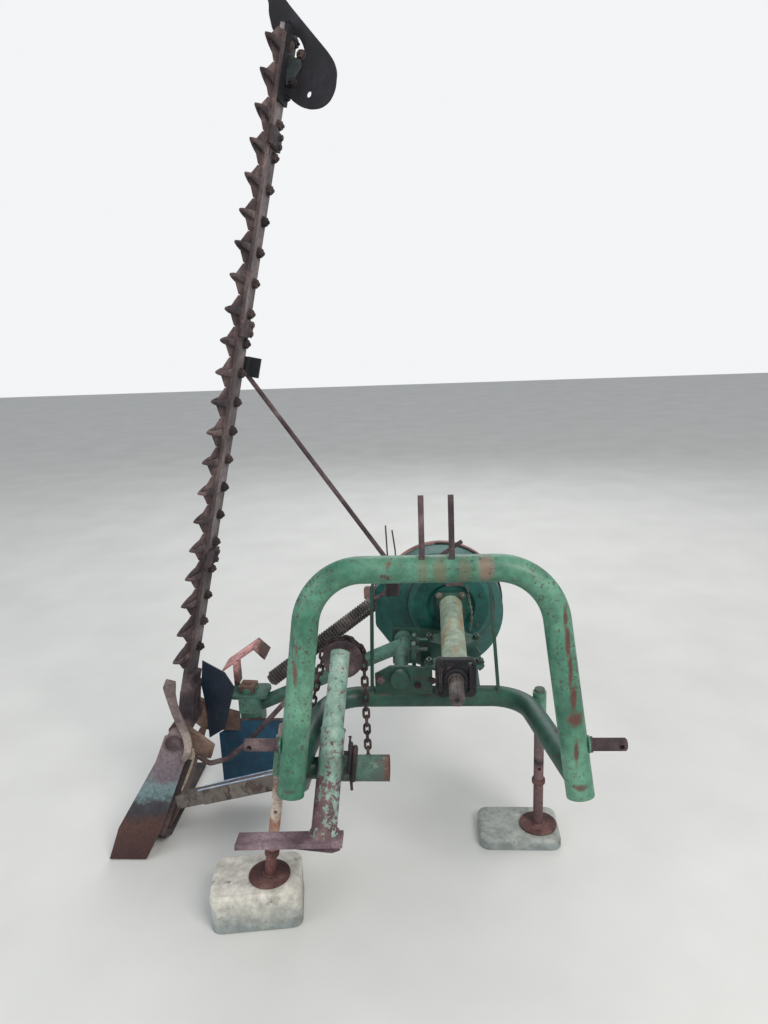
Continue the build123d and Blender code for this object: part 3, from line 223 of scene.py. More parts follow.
def arc_path(points, bend, step=10):
    """Points along straight runs that are joined by arcs."""
    pts = [Vector(p) for p in points]
    out = [pts[0]]
    for i in range(1, len(pts) - 1):
        a, b, c = pts[i - 1], pts[i], pts[i + 1]
        u, v = (a - b).normalized(), (c - b).normalized()
        angle = u.angle(v)
        reach = bend / math.tan(angle / 2)
        centre = b + (u + v).normalized() * (bend / math.sin(angle / 2))
        start, end = b + u * reach, b + v * reach
        turn = math.pi - angle
        count = max(4, int(math.degrees(turn) / step))
        s, e = start - centre, end - centre
        for k in range(count + 1):
            t = k / count
            out.append(centre + (s * math.sin((1 - t) * turn) + e * math.sin(t * turn)) / math.sin(turn))
    out.append(pts[-1])
    return out


def divided(path, length):
    """The same path with its long runs divided."""
    out = [path[0]]
    for a, b in zip(path, path[1:]):
        count = max(1, int((b - a).length / length))
        out += [a + (b - a) * (k + 1) / count for k in range(count)]
    return out


def circle(centre, normal, radius, count=40):
    n = Vector(normal).normalized()
    x = n.orthogonal().normalized()
    y = n.cross(x)
    return [Vector(centre) + (x * math.cos(t) + y * math.sin(t)) * radius
            for t in (2 * math.pi * k / count for k in range(count))]


def rounded(outline, radius, steps=4):
    """Outline with its corners rounded."""
    out = []
    n = len(outline)
    for i in range(n):
        a, b, c = Vector(outline[i - 1]), Vector(outline[i]), Vector(outline[(i + 1) % n])
        u, v = a - b, c - b
        r = min(radius, u.length * 0.45, v.length * 0.45)
        p, q = b + u.normalized() * r, b + v.normalized() * r
        for k in range(steps + 1):
            t = k / steps
            out.append(tuple(p * (1 - t) ** 2 + b * 2 * t * (1 - t) + q * t * t))
    return out


def finish_mesh(mesh, angle=35):
    mesh.polygons.foreach_set("use_smooth", [True] * len(mesh.polygons))
    mesh.set_sharp_from_angle(angle=math.radians(angle))
    mesh.update()


def bevel_mesh(bm, width, angle=32, segments=2):
    bm.normal_update()
    edges = [e for e in bm.edges if e.is_manifold and e.calc_face_angle(0) > math.radians(angle)
             and e.calc_length() > width * 0.6]
    bmesh.ops.bevel(bm, geom=edges, offset=width, segments=segments, profile=0.6, affect="EDGES", clamp_overlap=True)


def piece(name, form, body, material, replaces=(), bevel=0.0, angle=35):
    """New object from a form, riding on a body, with its material."""
    mesh = bpy.data.meshes.new(name)
    mesh.from_pydata([tuple(p) for p in form.points], [], form.faces)
    bm = bmesh.new()
    bm.from_mesh(mesh)
    bmesh.ops.remove_doubles(bm, verts=bm.verts, dist=1e-6)
    bmesh.ops.recalc_face_normals(bm, faces=bm.faces)
    if bevel:
        bevel_mesh(bm, bevel / 1000)
    bm.to_mesh(mesh)
    bm.free()
    finish_mesh(mesh, angle)
    obj = bpy.data.objects.new(name, mesh)
    bpy.context.scene.collection.objects.link(obj)
    mesh.materials.append(material)
    if body:
        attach(obj, body)
    if replaces:
        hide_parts(*replaces)
    return obj


def soften(node, width=1.0, angle=38):
    """Copy of a CAD node with its sharp edges eased, shown in the node's place."""
    source = nodes[node]
    mesh = source.data.copy()
    mesh.name = node + "_eased"
    bm = bmesh.new()
    bm.from_mesh(mesh)
    bmesh.ops.remove_doubles(bm, verts=bm.verts, dist=2e-6)
    bmesh.ops.dissolve_limit(bm, angle_limit=math.radians(1.0), verts=bm.verts, edges=bm.edges)
    bm.normal_update()
    edges = [e for e in bm.edges if e.is_manifold and e.calc_face_angle(0) > math.radians(angle)]
    bmesh.ops.bevel(bm, geom=edges, offset=width / 1000, segments=2, profile=0.6, affect="EDGES", clamp_overlap=True)
    bm.to_mesh(mesh)
    bm.free()
    finish_mesh(mesh, 40)
    obj = bpy.data.objects.new(node + "_look", mesh)
    bpy.context.scene.collection.objects.link(obj)
    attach(obj, source["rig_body"])
    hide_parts(node)
    return obj


# Materials

class Graph:
    """Short way to write a material's nodes."""

    def __init__(self, name):
        self.material = bpy.data.materials.new(name)
        self.material.use_nodes = True
        self.tree = self.material.node_tree
        self.shader = self.tree.nodes["Principled BSDF"]
        self.coords = self.tree.nodes.new("ShaderNodeTexCoord").outputs["Object"]

    def link(self, a, b):
        self.tree.links.new(a, b)

    def noise(self, scale, detail=5.0, rough=0.6, stretch=None, distortion=0.0, shift=0.0, turn=None):
        node = self.tree.nodes.new("ShaderNodeTexNoise")
        node.inputs["Scale"].default_value = scale
        node.inputs["Detail"].default_value = detail
        node.inputs["Roughness"].default_value = rough
        node.inputs["Distortion"].default_value = distortion
        mapping = self.tree.nodes.new("ShaderNodeMapping")
        mapping.inputs["Location"].default_value = (shift, shift * 1.7, shift * 0.6)
        if turn is not None:
            mapping.vector_type = "TEXTURE"
            mapping.inputs["Rotation"].default_value = (math.radians(turn), 0, 0)
            mapping.inputs["Scale"].default_value = [1 / value for value in stretch]
        elif stretch:
            mapping.inputs["Scale"].default_value = stretch
        self.link(self.coords, mapping.inputs["Vector"])
        self.link(mapping.outputs["Vector"], node.inputs["Vector"])
        return node.outputs["Fac"]

    def cells(self, scale, feature="F1"):
        node = self.tree.nodes.new("ShaderNodeTexVoronoi")
        node.feature = feature
        node.inputs["Scale"].default_value = scale
        self.link(self.coords, node.inputs["Vector"])
        return node.outputs["Distance"]

    def ramp(self, value, stops, interpolation="LINEAR"):
        node = self.tree.nodes.new("ShaderNodeValToRGB")
        node.color_ramp.interpolation = interpolation
        elements = node.color_ramp.elements
        while len(elements) < len(stops):
            elements.new(0.5)
        for element, (position, colour) in zip(elements, stops):
            element.position = position
            if isinstance(colour, (int, float)):
                colour = (colour,) * 3
            element.color = (*colour, 1)
        self.link(value, node.inputs["Fac"])
        return node.outputs["Color"]

    def mix(self, factor, a, b, blend="MIX"):
        node = self.tree.nodes.new("ShaderNodeMix")
        node.data_type = "RGBA"
        node.blend_type = blend
        for value, socket in ((factor, node.inputs[0]), (a, node.inputs[6]), (b, node.inputs[7])):
            if isinstance(value, (int, float)):
                socket.default_value = value if socket.type == "VALUE" else (value, value, value, 1)
            elif isinstance(value, (tuple, list)):
                socket.default_value = (*value, 1)
            else:
                self.link(value, socket)
        return node.outputs[2]

    def math(self, operation, a, b=0.0, clamp=False):
        node = self.tree.nodes.new("ShaderNodeMath")
        node.operation = operation
        node.use_clamp = clamp
        for value, socket in ((a, node.inputs[0]), (b, node.inputs[1])):
            if isinstance(value, (int, float)):
                socket.default_value = value
            else:
                self.link(value, socket)
        return node.outputs[0]

    def edge(self, radius=0.004):
        """1 near convex and concave edges, 0 on flat faces."""
        bevel = self.tree.nodes.new("ShaderNodeBevel")
        bevel.samples = 4
        bevel.inputs["Radius"].default_value = radius
        geometry = self.tree.nodes.new("ShaderNodeNewGeometry")
        dot = self.tree.nodes.new("ShaderNodeVectorMath")
        dot.operation = "DOT_PRODUCT"
        self.link(bevel.outputs["Normal"], dot.inputs[0])
        self.link(geometry.outputs["Normal"], dot.inputs[1])
        return self.math("SUBTRACT", 1.0, dot.outputs["Value"], True)

    def height(self):
        """Height above the ground, in metres."""
        node = self.tree.nodes.new("ShaderNodeSeparateXYZ")
        self.link(self.coords, node.inputs[0])
        return node.outputs

    def spot(self, place, radii, ragged=0.3, scale=70):
        """1 inside an ellipsoid of the machine's frame, in millimetres, with a ragged edge."""
        mapping = self.tree.nodes.new("ShaderNodeMapping")
        centre = at(*place)
        for i, radius in enumerate(radii):
            mapping.inputs["Scale"].default_value[i] = 1000 / radius
            mapping.inputs["Location"].default_value[i] = -centre[i] * 1000 / radius
        self.link(self.coords, mapping.inputs["Vector"])
        size = self.tree.nodes.new("ShaderNodeVectorMath")
        size.operation = "LENGTH"
        self.link(mapping.outputs["Vector"], size.inputs[0])
        uneven = self.math("MULTIPLY", self.math("SUBTRACT", self.noise(scale, 5, 0.65), 0.5), ragged * 4)
        reach = self.math("MULTIPLY", self.math("ADD", size.outputs["Value"], uneven), 0.5)
        return self.ramp(reach, [(0.30, 1.0), (0.62, 0.0)])

    def off_axis(self, x, z, radius):
        """1 farther than radius from a fore-aft line, in millimetres."""
        centre = at(x, 0, z)
        across = self.math("SUBTRACT", self.height()["X"], centre[0])
        up = self.math("SUBTRACT", self.height()["Z"], centre[2])
        far = self.math("SQRT", self.math("ADD", self.math("MULTIPLY", across, across), self.math("MULTIPLY", up, up)))
        return self.math("GREATER_THAN", far, radius / 1000)

    def bump(self, height, strength=0.4, distance=0.002):
        node = self.tree.nodes.new("ShaderNodeBump")
        node.inputs["Strength"].default_value = strength
        node.inputs["Distance"].default_value = distance
        self.link(height, node.inputs["Height"])
        self.link(node.outputs["Normal"], self.shader.inputs["Normal"])

    def out(self, colour, roughness, metallic=0.0):
        for value, name in ((colour, "Base Color"), (roughness, "Roughness"), (metallic, "Metallic")):
            socket = self.shader.inputs[name]
            if isinstance(value, (int, float)):
                socket.default_value = value
            elif isinstance(value, (tuple, list)):
                socket.default_value = (*value, 1)
            else:
                self.link(value, socket)
        return self.material


def srgb(r, g, b):
    """Colour written as it shows, 0 to 255."""
    def channel(c):
        c /= 255
        return c / 12.92 if c <= 0.04045 else ((c + 0.055) / 1.055) ** 2.4
    return channel(r), channel(g), channel(b)


def rust_colour(g, tones, scale=60):
    """Mottled rust: dark to light through three tones."""
    dark, mid, light = tones
    coarse = g.noise(scale * 0.22, 4, 0.6)
    fine = g.noise(scale * 2.2, 6, 0.7)
    base = g.ramp(coarse, [(0.36, dark), (0.52, mid), (0.66, light)])
    return g.mix(g.ramp(fine, [(0.38, 0.0), (0.62, 1.0)]), g.mix(0.45, base, dark), base)


SPECK = srgb(72, 56, 60)


def paint_layers(g, paint, faded, rust, chips=0.60, streaks=0.5, fade_scale=7.0, edge_wear=0.5, chip_scale=26.0,
                 specks=0.0, marks=(), low_tone=None, low_wear=None, over=(), turn=0, speck_scale=150):
    """Weathered paint: fading, rust chips and specks, worn edges, and marks at given places: drips, stains, and on the
    shield painted shade.
    """
    fade = g.ramp(g.noise(fade_scale, 5, 0.62), [(0.36, 0.0), (0.66, 1.0)])
    colour = g.mix(fade, paint, faded)
    if low_tone:
        low, high, tone = low_tone
        level = g.math("DIVIDE", g.math("SUBTRACT", g.height()["Z"], low / 1000), (high - low) / 1000)
        uneven = g.math("MULTIPLY", g.math("SUBTRACT", g.noise(22, 5, 0.65, shift=6.0), 0.5), 0.9)
        colour = g.mix(g.ramp(g.math("ADD", level, uneven), [(0.0, 0.0), (1.0, 1.0)]), tone, colour)
    grime = g.ramp(g.noise(38, 6, 0.7, shift=3.0), [(0.40, 0.55), (0.62, 1.0)])
    colour = g.mix(0.75, colour, g.mix(1.0, colour, grime, "MULTIPLY"))
    chip_noise = g.noise(chip_scale, 8, 0.68, distortion=0.4, shift=7.0)
    speckle = g.noise(chip_scale * 6, 4, 0.7, shift=1.3)
    streak = g.noise(20, 5, 0.65, (1.0, 1.0, 0.16), shift=5.0, turn=turn)
    mask = g.math("ADD", chip_noise, g.math("MULTIPLY", g.math("SUBTRACT", speckle, 0.5), 0.22))
    mask = g.math("ADD", mask, g.math("MULTIPLY", g.math("SUBTRACT", streak, 0.5), 0.30 * streaks))
    if low_wear:
        low, high, amount = low_wear
        level = g.math("DIVIDE", g.math("SUBTRACT", high / 1000, g.height()["Z"]), (high - low) / 1000, True)
        mask = g.math("ADD", mask, g.math("MULTIPLY", level, amount))
    if edge_wear:
        mask = g.math("ADD", mask, g.math("MULTIPLY", g.edge(), edge_wear))
    chipped = g.ramp(mask, [(chips, 0.0), (chips + 0.025, 1.0)])
    halo = g.ramp(mask, [(chips - 0.06, 0.0), (chips, 0.55)])
    worn = rust_colour(g, rust)
    colour = g.mix(halo, colour, g.mix(0.5, colour, rust[1]))
    for place, radii, tone, strength in marks:
        colour = g.mix(g.math("MULTIPLY", g.spot(place, radii), strength), colour, tone)
    colour = g.mix(chipped, colour, worn)
    if specks:
        dots = g.math("ADD", g.noise(speck_scale, 3, 0.55, shift=9.0),
                      g.math("MULTIPLY", g.math("SUBTRACT", g.noise(11, 3, 0.6, shift=2.2), 0.5), 0.45))
        colour = g.mix(g.ramp(dots, [(specks, 0.0), (specks + 0.04, 0.8)]), colour, SPECK)
    # Marks laid over all: rust drips on the arch, painted shade on the shield.
    for place, radii, tone, strength in over:
        colour = g.mix(g.math("MULTIPLY", g.spot(place, radii), strength), colour, tone)
    return colour, fade, chipped


def old_paint(name, paint, faded, rust, chips=0.60, streaks=0.5, roughness=0.5, *more, **layers):
    """Paint of given layers, with its own gloss and relief."""
    g = Graph(name)
    final, fade, chipped = paint_layers(g, paint, faded, rust, chips, streaks, *more, **layers)
    rough = g.mix(chipped, g.ramp(fade, [(0.0, roughness), (1.0, roughness + 0.16)]), 0.86)
    relief = g.math("SUBTRACT", g.math("MULTIPLY", g.noise(180, 4, 0.6), 0.25), g.math("MULTIPLY", chipped, 0.5))
    g.bump(relief, 0.35, 0.0012)
    return g.out(final, rough)


def banded(name, low, high, stops, jitter=0.3, roughness=0.82, relief=0.5, edge_light=0.0):
    """Metal whose tones change with height, from low to high in millimetres."""
    g = Graph(name)
    level = g.math("DIVIDE", g.math("SUBTRACT", g.height()["Z"], low / 1000), (high - low) / 1000)
    uneven = g.math("MULTIPLY", g.math("SUBTRACT", g.noise(26, 5, 0.65), 0.5), jitter)
    colour = g.ramp(g.math("ADD", level, uneven), stops)
    mottle = g.ramp(g.noise(130, 6, 0.7, shift=2.0), [(0.36, 0.5), (0.6, 1.0)])
    colour = g.mix(0.8, colour, g.mix(1.0, colour, mottle, "MULTIPLY"))
    if edge_light:
        colour = g.mix(g.ramp(g.edge(0.003), [(0.06, 0.0), (0.3, edge_light)]), colour, srgb(170, 150, 132))
    g.bump(g.math("ADD", g.noise(72, 6, 0.7), g.math("MULTIPLY", mottle, 0.3)), relief, 0.0016)
    return g.out(colour, roughness)


def bare_rust(name, tones, roughness=0.85, scale=60, relief=0.5, edge_light=0.0, metallic=0.0):
    """Rusty steel with pits, mottling and lighter worn edges."""
    g = Graph(name)
    colour = rust_colour(g, tones, scale)
    pits = g.ramp(g.noise(scale * 3.4, 5, 0.7, shift=4.0), [(0.34, 0.45), (0.5, 1.0)])
    colour = g.mix(0.7, colour, g.mix(1.0, colour, pits, "MULTIPLY"))
    if edge_light:
        worn = g.ramp(g.edge(0.003), [(0.06, 0.0), (0.3, edge_light)])
        colour = g.mix(worn, colour, tones[2])
    g.bump(g.math("ADD", g.noise(scale * 1.2, 6, 0.7), g.math("MULTIPLY", pits, 0.4)), relief, 0.0016)
    return g.out(colour, roughness, metallic)


RUST = (srgb(56, 38, 38), srgb(92, 60, 52), srgb(132, 90, 70))
BROWN_RUST = (srgb(50, 38, 42), srgb(86, 70, 73), srgb(126, 106, 105))
STAIN = srgb(112, 92, 70)
DARK_RED = srgb(88, 42, 38)

green = old_paint("sea_green_paint", srgb(52, 112, 88), srgb(104, 156, 130), RUST, 0.65, 0.8, 0.38, specks=0.603, marks=(
    ((-12, 30, 852), (13, 70, 40), STAIN, 0.45), ((24, 20, 850), (16, 70, 44), STAIN, 0.6),
    ((76, 20, 848), (14, 70, 40), STAIN, 0.5), ((120, 30, 856), (18, 70, 34), srgb(138, 96, 88), 0.65)), over=(
    ((284, 20, 752), (5, 70, 26), DARK_RED, 0.9), ((288, 10, 700), (6, 70, 34), DARK_RED, 0.9),
    ((293, 0, 640), (5, 70, 40), DARK_RED, 0.9), ((298, -5, 585), (8, 70, 26), DARK_RED, 0.9),
    ((302, -10, 540), (18, 70, 16), DARK_RED, 0.9), ((303, -20, 470), (5, 70, 30), DARK_RED, 0.85),
    ((310, -20, 395), (16, 70, 8), DARK_RED, 0.8), ((-292, 20, 640), (6, 60, 30), srgb(96, 54, 46), 0.85),
    ((-288, 20, 690), (4, 60, 14), srgb(96, 54, 46), 0.7), ((-314, -20, 384), (16, 60, 4), srgb(66, 64, 58), 0.8)))
deep = old_paint("deep_green_paint", srgb(20, 62, 54), srgb(48, 94, 78), RUST, 0.63, 0.7, 0.4, specks=0.61)
arm_green = old_paint("arm_green_paint", srgb(44, 92, 80), srgb(96, 138, 122), RUST, 0.64, 0.7, specks=0.63)
teal = old_paint("deep_teal_paint", srgb(14, 76, 70), srgb(30, 98, 90), RUST, 0.70, 0.4, 0.42, specks=0.69)
MINT_RUST = (srgb(70, 50, 54), srgb(108, 84, 86), srgb(140, 116, 112))
mint = old_paint("pale_mint_paint", srgb(112, 152, 138), srgb(172, 196, 182), MINT_RUST, 0.60, 2.6, 0.5, 12.0, 0.4, 70.0,
                 low_wear=(330, 470, 0.17), turn=-48, over=(
    ((-160, 96, 352), (62, 60, 60), srgb(66, 98, 86), 0.9), ((-102, 96, 352), (12, 60, 60), srgb(96, 64, 54), 1.0)))
rust = bare_rust("brown_rust", BROWN_RUST)
dark_rust = bare_rust("dark_rust", (srgb(36, 29, 32), srgb(64, 51, 52), srgb(98, 80, 78)))
red_rust = bare_rust("red_rust", (srgb(62, 40, 40), srgb(98, 64, 60), srgb(134, 96, 86)))
bar_rust = bare_rust("bar_rust", (srgb(76, 68, 70), srgb(116, 106, 107), srgb(152, 142, 140)), 0.85, 40, 0.45, 0.5)
guard_rust = bare_rust("guard_rust", (srgb(38, 31, 37), srgb(76, 61, 64), srgb(122, 101, 99)), 0.8, 70, 0.5, 0.6)
knife_rust = bare_rust("knife_rust", (srgb(50, 40, 43), srgb(88, 72, 73), srgb(130, 110, 106)), 0.75, 60, 0.4, 0.4)
black_iron = bare_rust("black_iron", (srgb(9, 9, 15), srgb(17, 18, 27), srgb(36, 35, 44)), 0.75, 50, 0.35, 0.3)
plate_iron = old_paint("plate_iron", srgb(10, 12, 20), srgb(24, 27, 38), BROWN_RUST, 0.60, 0.3, 0.6, specks=0.63)
blue = old_paint("faded_blue_paint", srgb(14, 60, 88), srgb(34, 88, 116), RUST, 0.65, 0.8, 0.5, specks=0.66)
dark_blue = old_paint("dark_blue_paint", srgb(16, 32, 50), srgb(34, 54, 74), RUST, 0.66, 0.6, 0.5, specks=0.64)
red_paint = old_paint("faded_red_paint", srgb(176, 108, 100), srgb(222, 164, 160), BROWN_RUST, 0.62, 0.5, 0.6, specks=0.65)
# Pink shield's faded paint; the two dark marks laid over it are painted shade on the slopes of the folded sheet.
shield_paint_and_shade = old_paint("faded_shield_paint", srgb(184, 118, 112), srgb(224, 168, 164), BROWN_RUST, 0.61, 0.8, 0.6,
                         specks=0.64, over=(((-497, 615, 425), (36, 90, 36), srgb(74, 50, 44), 1.0),
                                            ((-592, 615, 342), (34, 90, 46), srgb(62, 48, 44), 1.0)))
cover_paint = old_paint("faded_cover_paint", srgb(128, 92, 90), srgb(168, 132, 126), BROWN_RUST, 0.60, 0.5, 0.7)
pale_block = old_paint("pale_block", srgb(210, 206, 194), srgb(228, 224, 214),
                       (srgb(104, 108, 104), srgb(134, 138, 132), srgb(158, 158, 148)), 0.63, 1.2, 0.8, 9.0, 0.2, 12.0,
                       low_tone=(10, 84, srgb(146, 154, 152)))

worn_steel = bare_rust("worn_steel", (srgb(84, 78, 70), srgb(128, 122, 112), srgb(176, 170, 160)), 0.5, 50, 0.3, 0.4, 0.6)
pink_steel = bare_rust("pink_steel", (srgb(80, 60, 60), srgb(118, 92, 90), srgb(150, 122, 116)), 0.8, 60, 0.4, 0.3)
chain_steel = bare_rust("chain_steel", (srgb(28, 22, 25), srgb(58, 43, 44), srgb(92, 70, 66)), 0.75, 90, 0.4, 0.3)
pale_steel = bare_rust("pale_steel", (srgb(132, 110, 90), srgb(204, 190, 170), srgb(228, 220, 204)), 0.8, 60, 0.4, 0.2)
# Pale blue-white steel that paints the highlight along the drag strut's upper edges.
blue_highlight = bare_rust("pale_blue_edge", (srgb(90, 112, 140), srgb(168, 188, 210), srgb(214, 224, 232)), 0.7, 60, 0.2, 0.2)
strap_steel = bare_rust("strap_steel", (srgb(78, 66, 68), srgb(122, 108, 104), srgb(162, 148, 138)), 0.75, 50, 0.4, 0.6)
web_rust = bare_rust("web_rust", (srgb(70, 54, 50), srgb(110, 88, 78), srgb(150, 124, 108)), 0.85, 40, 0.45, 0.3)
foot_steel = bare_rust("foot_steel", (srgb(78, 60, 68), srgb(124, 102, 110), srgb(160, 140, 144)), 0.8, 50, 0.5, 0.4)
spring_steel = bare_rust("spring_steel", (srgb(44, 38, 39), srgb(88, 79, 78), srgb(138, 128, 122)), 0.7, 70, 0.4, 0.3)
disc_rust = bare_rust("disc_rust", (srgb(64, 42, 42), srgb(98, 66, 62), srgb(132, 98, 92)), 0.85, 60, 0.5)
stub_steel = bare_rust("stub_steel", (srgb(52, 46, 46), srgb(96, 88, 86), srgb(140, 130, 122)), 0.6, 60, 0.4, 0.4, 0.3)
strut_rust = old_paint("strut_paint", srgb(96, 86, 80), srgb(122, 114, 106),
                       (srgb(56, 46, 46), srgb(80, 66, 60), srgb(104, 88, 80)), 0.53, 0.6, 0.7)
skid_steel = banded("skid_steel", 0, 320, [(0.0, srgb(62, 38, 36)), (0.30, srgb(80, 50, 44)), (0.37, srgb(50, 46, 50)),
                                           (0.45, srgb(62, 60, 66)), (0.51, srgb(100, 122, 124)), (0.60, srgb(112, 132, 134)),
                                           (0.68, srgb(106, 96, 104)), (1.0, srgb(128, 110, 112))], 0.34, 0.7, 0.5, 0.3)
left_leg_steel = banded("left_leg_steel", 95, 480, [(0.0, srgb(96, 62, 60)), (0.03, srgb(104, 68, 64)),
                                                    (0.16, srgb(128, 84, 80)), (0.24, srgb(196, 178, 164)),
                                                    (0.36, srgb(150, 104, 84)), (0.42, srgb(208, 192, 178)),
                                                    (0.55, srgb(206, 190, 176)), (0.62, srgb(128, 92, 78)),
                                                    (0.70, srgb(196, 180, 166)), (1.0, srgb(150, 132, 124))], 0.26)
right_leg_steel = banded("right_leg_steel", 28, 430, [(0.0, srgb(96, 64, 62)), (0.03, srgb(92, 66, 66)),
                                                      (0.45, srgb(118, 92, 94)), (0.49, srgb(40, 34, 36)),
                                                      (0.53, srgb(110, 90, 92)), (1.0, srgb(84, 96, 88))], 0.08)


def drive_tube_paint():
    """Pale stained paint on the drive tube, dark green on its flange and gussets."""
    g = Graph("drive_tube_paint")
    pale, fade, chipped = paint_layers(g, srgb(138, 156, 136), srgb(180, 196, 176),
                                       (srgb(92, 78, 58), srgb(136, 120, 92), srgb(166, 152, 124)), 0.62, 1.2, 8.0, 0.0)
    stains = g.ramp(g.noise(30, 5, 0.6, (1.0, 0.3, 1.0), shift=8.0), [(0.48, 0.0), (0.64, 0.8)])
    pale = g.mix(stains, pale, srgb(150, 118, 74))
    dark, _, _ = paint_layers(g, srgb(30, 76, 64), srgb(54, 100, 86), RUST, 0.62, 0.5, specks=0.60)
    g.bump(g.noise(160, 4, 0.6), 0.3, 0.0012)
    return g.out(g.mix(g.off_axis(57, 534, 34), pale, dark), 0.6)


drive_tube = drive_tube_paint()
grey_green = old_paint("grey_green_paint", srgb(44, 58, 58), srgb(74, 88, 86), BROWN_RUST, 0.60, 0.4, specks=0.60)

LOOKS = {
    # node: (material, slot, edge width in mm)
    "hitch_arch": (green, "green_paint", 0), "hitch_pins": (rust, "rusty_steel", 0),
    "top_link_lugs": (rust, "green_paint", 1.2), "rear_bow": (deep, "green_paint", 0),
    "pto_plate": (plate_iron, "black_iron", 1.0), "pto_tube": (drive_tube, "mint_paint", 0.8),
    "drum_housing": (teal, "teal_paint", 0), "rear_cover": (cover_paint, "red_paint", 0),
    "drive_cradle": (deep, "green_paint", 1.0), "guard_hoop": (deep, "green_paint", 0.8),
    "pivot_bracket": (deep, "green_paint", 1.2), "pivot_pin": (rust, "rusty_steel", 0.8),
    "adjuster": (deep, "green_paint", 0.8), "stay_anchor": (dark_rust, "green_paint", 0.8),
    "spring_rod": (rust, "rusty_steel", 0.6), "lever_mount": (deep, "green_paint", 1.0),
    "stand_sleeves": (green, "green_paint", 0.6), "ground_blocks": (pale_block, "pale_block", 0),
    "lift_spring": (dark_rust, "rusty_steel", 0), "pto_shaft": (stub_steel, "rusty_steel", 0.5),
    "flywheel": (rust, "rusty_steel", 1.0), "lift_lever": (mint, "mint_paint", 0),
    "lever_foot": (foot_steel, "rusty_steel", 1.2), "lift_chain": (dark_rust, "rusty_steel", 0.8),
    "pulley": (rust, "rusty_steel", 0.8), "arm": (arm_green, "green_paint", 1.0),
    "inner_shoe": (web_rust, "rusty_steel", 1.4), "shoe_sole": (dark_rust, "rusty_steel", 1.0),
    "bar_pin": (rust, "rusty_steel", 1.0), "skid": (skid_steel, "rusty_steel", 1.2),
    "nose_strap": (strap_steel, "rusty_steel", 1.2), "side_plate": (dark_blue, "dark_blue_paint", 0.8),
    "swath_board": (blue, "blue_paint", 0.8), "pink_shield": (shield_paint_and_shade, "red_paint", 0.8),
    "drag_strut": (strut_rust, "rusty_steel", 1.0), "pull_rod": (rust, "rusty_steel", 0),
    "cutter_bar": (bar_rust, "bar_steel", 1.0), "bar_heel": (guard_rust, "bar_steel", 1.4),
    "hold_downs": (guard_rust, "black_iron", 1.0), "outer_shoe": (black_iron, "black_iron", 1.2),
    "stay_bracket": (black_iron, "black_iron", 1.0), "knife": (knife_rust, "knife_steel", 0.4),
    "stay_rod": (rust, "rusty_steel", 0.5), "left_stand": (left_leg_steel, "rusty_steel", 0.6),
    "right_stand": (right_leg_steel, "rusty_steel", 0.6),
}

# Pieces

replaced = set()


def put(name, form, body, material, replaces=(), bevel=0.0, angle=35):
    replaced.update(replaces)
    return piece(name, form, body, material, replaces, bevel, angle)


def spring_coil():
    """Close-wound coil with its two hooked ends."""
    a, b = Vector((-166, 600, 571)), Vector((-478, 548, 352))
    axis = b - a
    length = axis.length
    direction = axis.normalized()
    side = direction.orthogonal().normalized()
    up = direction.cross(side)
    wire, radius, pitch = 4.0, 18.5, 8.8
    turns = (length - 14) / pitch
    steps = int(turns * 18)
    path = []
    for i in range(steps + 1):
        t = i / steps
        angle = 2 * math.pi * turns * t
        path.append(a + direction * (7 + (length - 14) * t) + (side * math.cos(angle) + up * math.sin(angle)) * radius)
    form = Form().tube(path, wire, 9)
    for end, sign in ((a, 1), (b, -1)):
        plug = frame_matrix(at(*end), side, up * sign, direction * sign)
        form.lathe([(6, -1), (15, 0), (15.5, 4), (13.5, 16), (8, 22)], 20, plug)
    coil = put("spring_coil", form, None, spring_steel, ["lift_spring"])
    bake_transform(coil)
    return coil


# Cutter bar

# Guard's sections along its finger: y, half width, lowest and highest z
GUARD_BODY = ((-12, 14, -19, -12.2), (-6, 19, -20, -12.2), (30, 19, -20, -12.2), (37, 17, -20, -0.5),
              (46, 13, -19.5, 0), (60, 12, -17.5, 0), (80, 10.6, -13.8, 0), (100, 8.4, -10, 0),
              (118, 5.4, -6.4, 0.2), (128, 3.4, -4.2, 1.2), (134.5, 1.2, -1.2, 1))
GUARD_LIP = ((62, 8.5, 7.2, 9.4), (68, 9.5, 7, 11.4), (90, 8.2, 6.6, 12.4), (110, 6.4, 6.2, 13), (119, 5, 5.6, 13),
             (120.5, 4.8, -0.5, 12.6), (127, 3.6, -2, 8), (134, 1.3, -1, 2))
GUARD_BEND_FROM = 60


def bar_frame(x, y, z, turned=False):
    """Local frame on the bar; turned points its z away from the bar's upper side."""
    if turned:
        return frame_matrix(BAR @ Vector((x, y, z)), BAR_G, BAR_U, -BAR_N)
    return frame_matrix(BAR @ Vector((x, y, z)), BAR_U, BAR_G, BAR_N)


def squared_ring(x, y, half, z0, z1, count=14, power=3.0):
    """Ring across a guard, between a round and a square one."""
    middle, tall = (z0 + z1) / 2, (z1 - z0) / 2
    ring = []
    for k in range(count):
        t = 2 * math.pi * (k + 0.5) / count
        c, s = math.cos(t), math.sin(t)
        ring.append((x + half * math.copysign(abs(c) ** (2 / power), c), y,
                     middle + tall * math.copysign(abs(s) ** (2 / power), s)))
    return ring


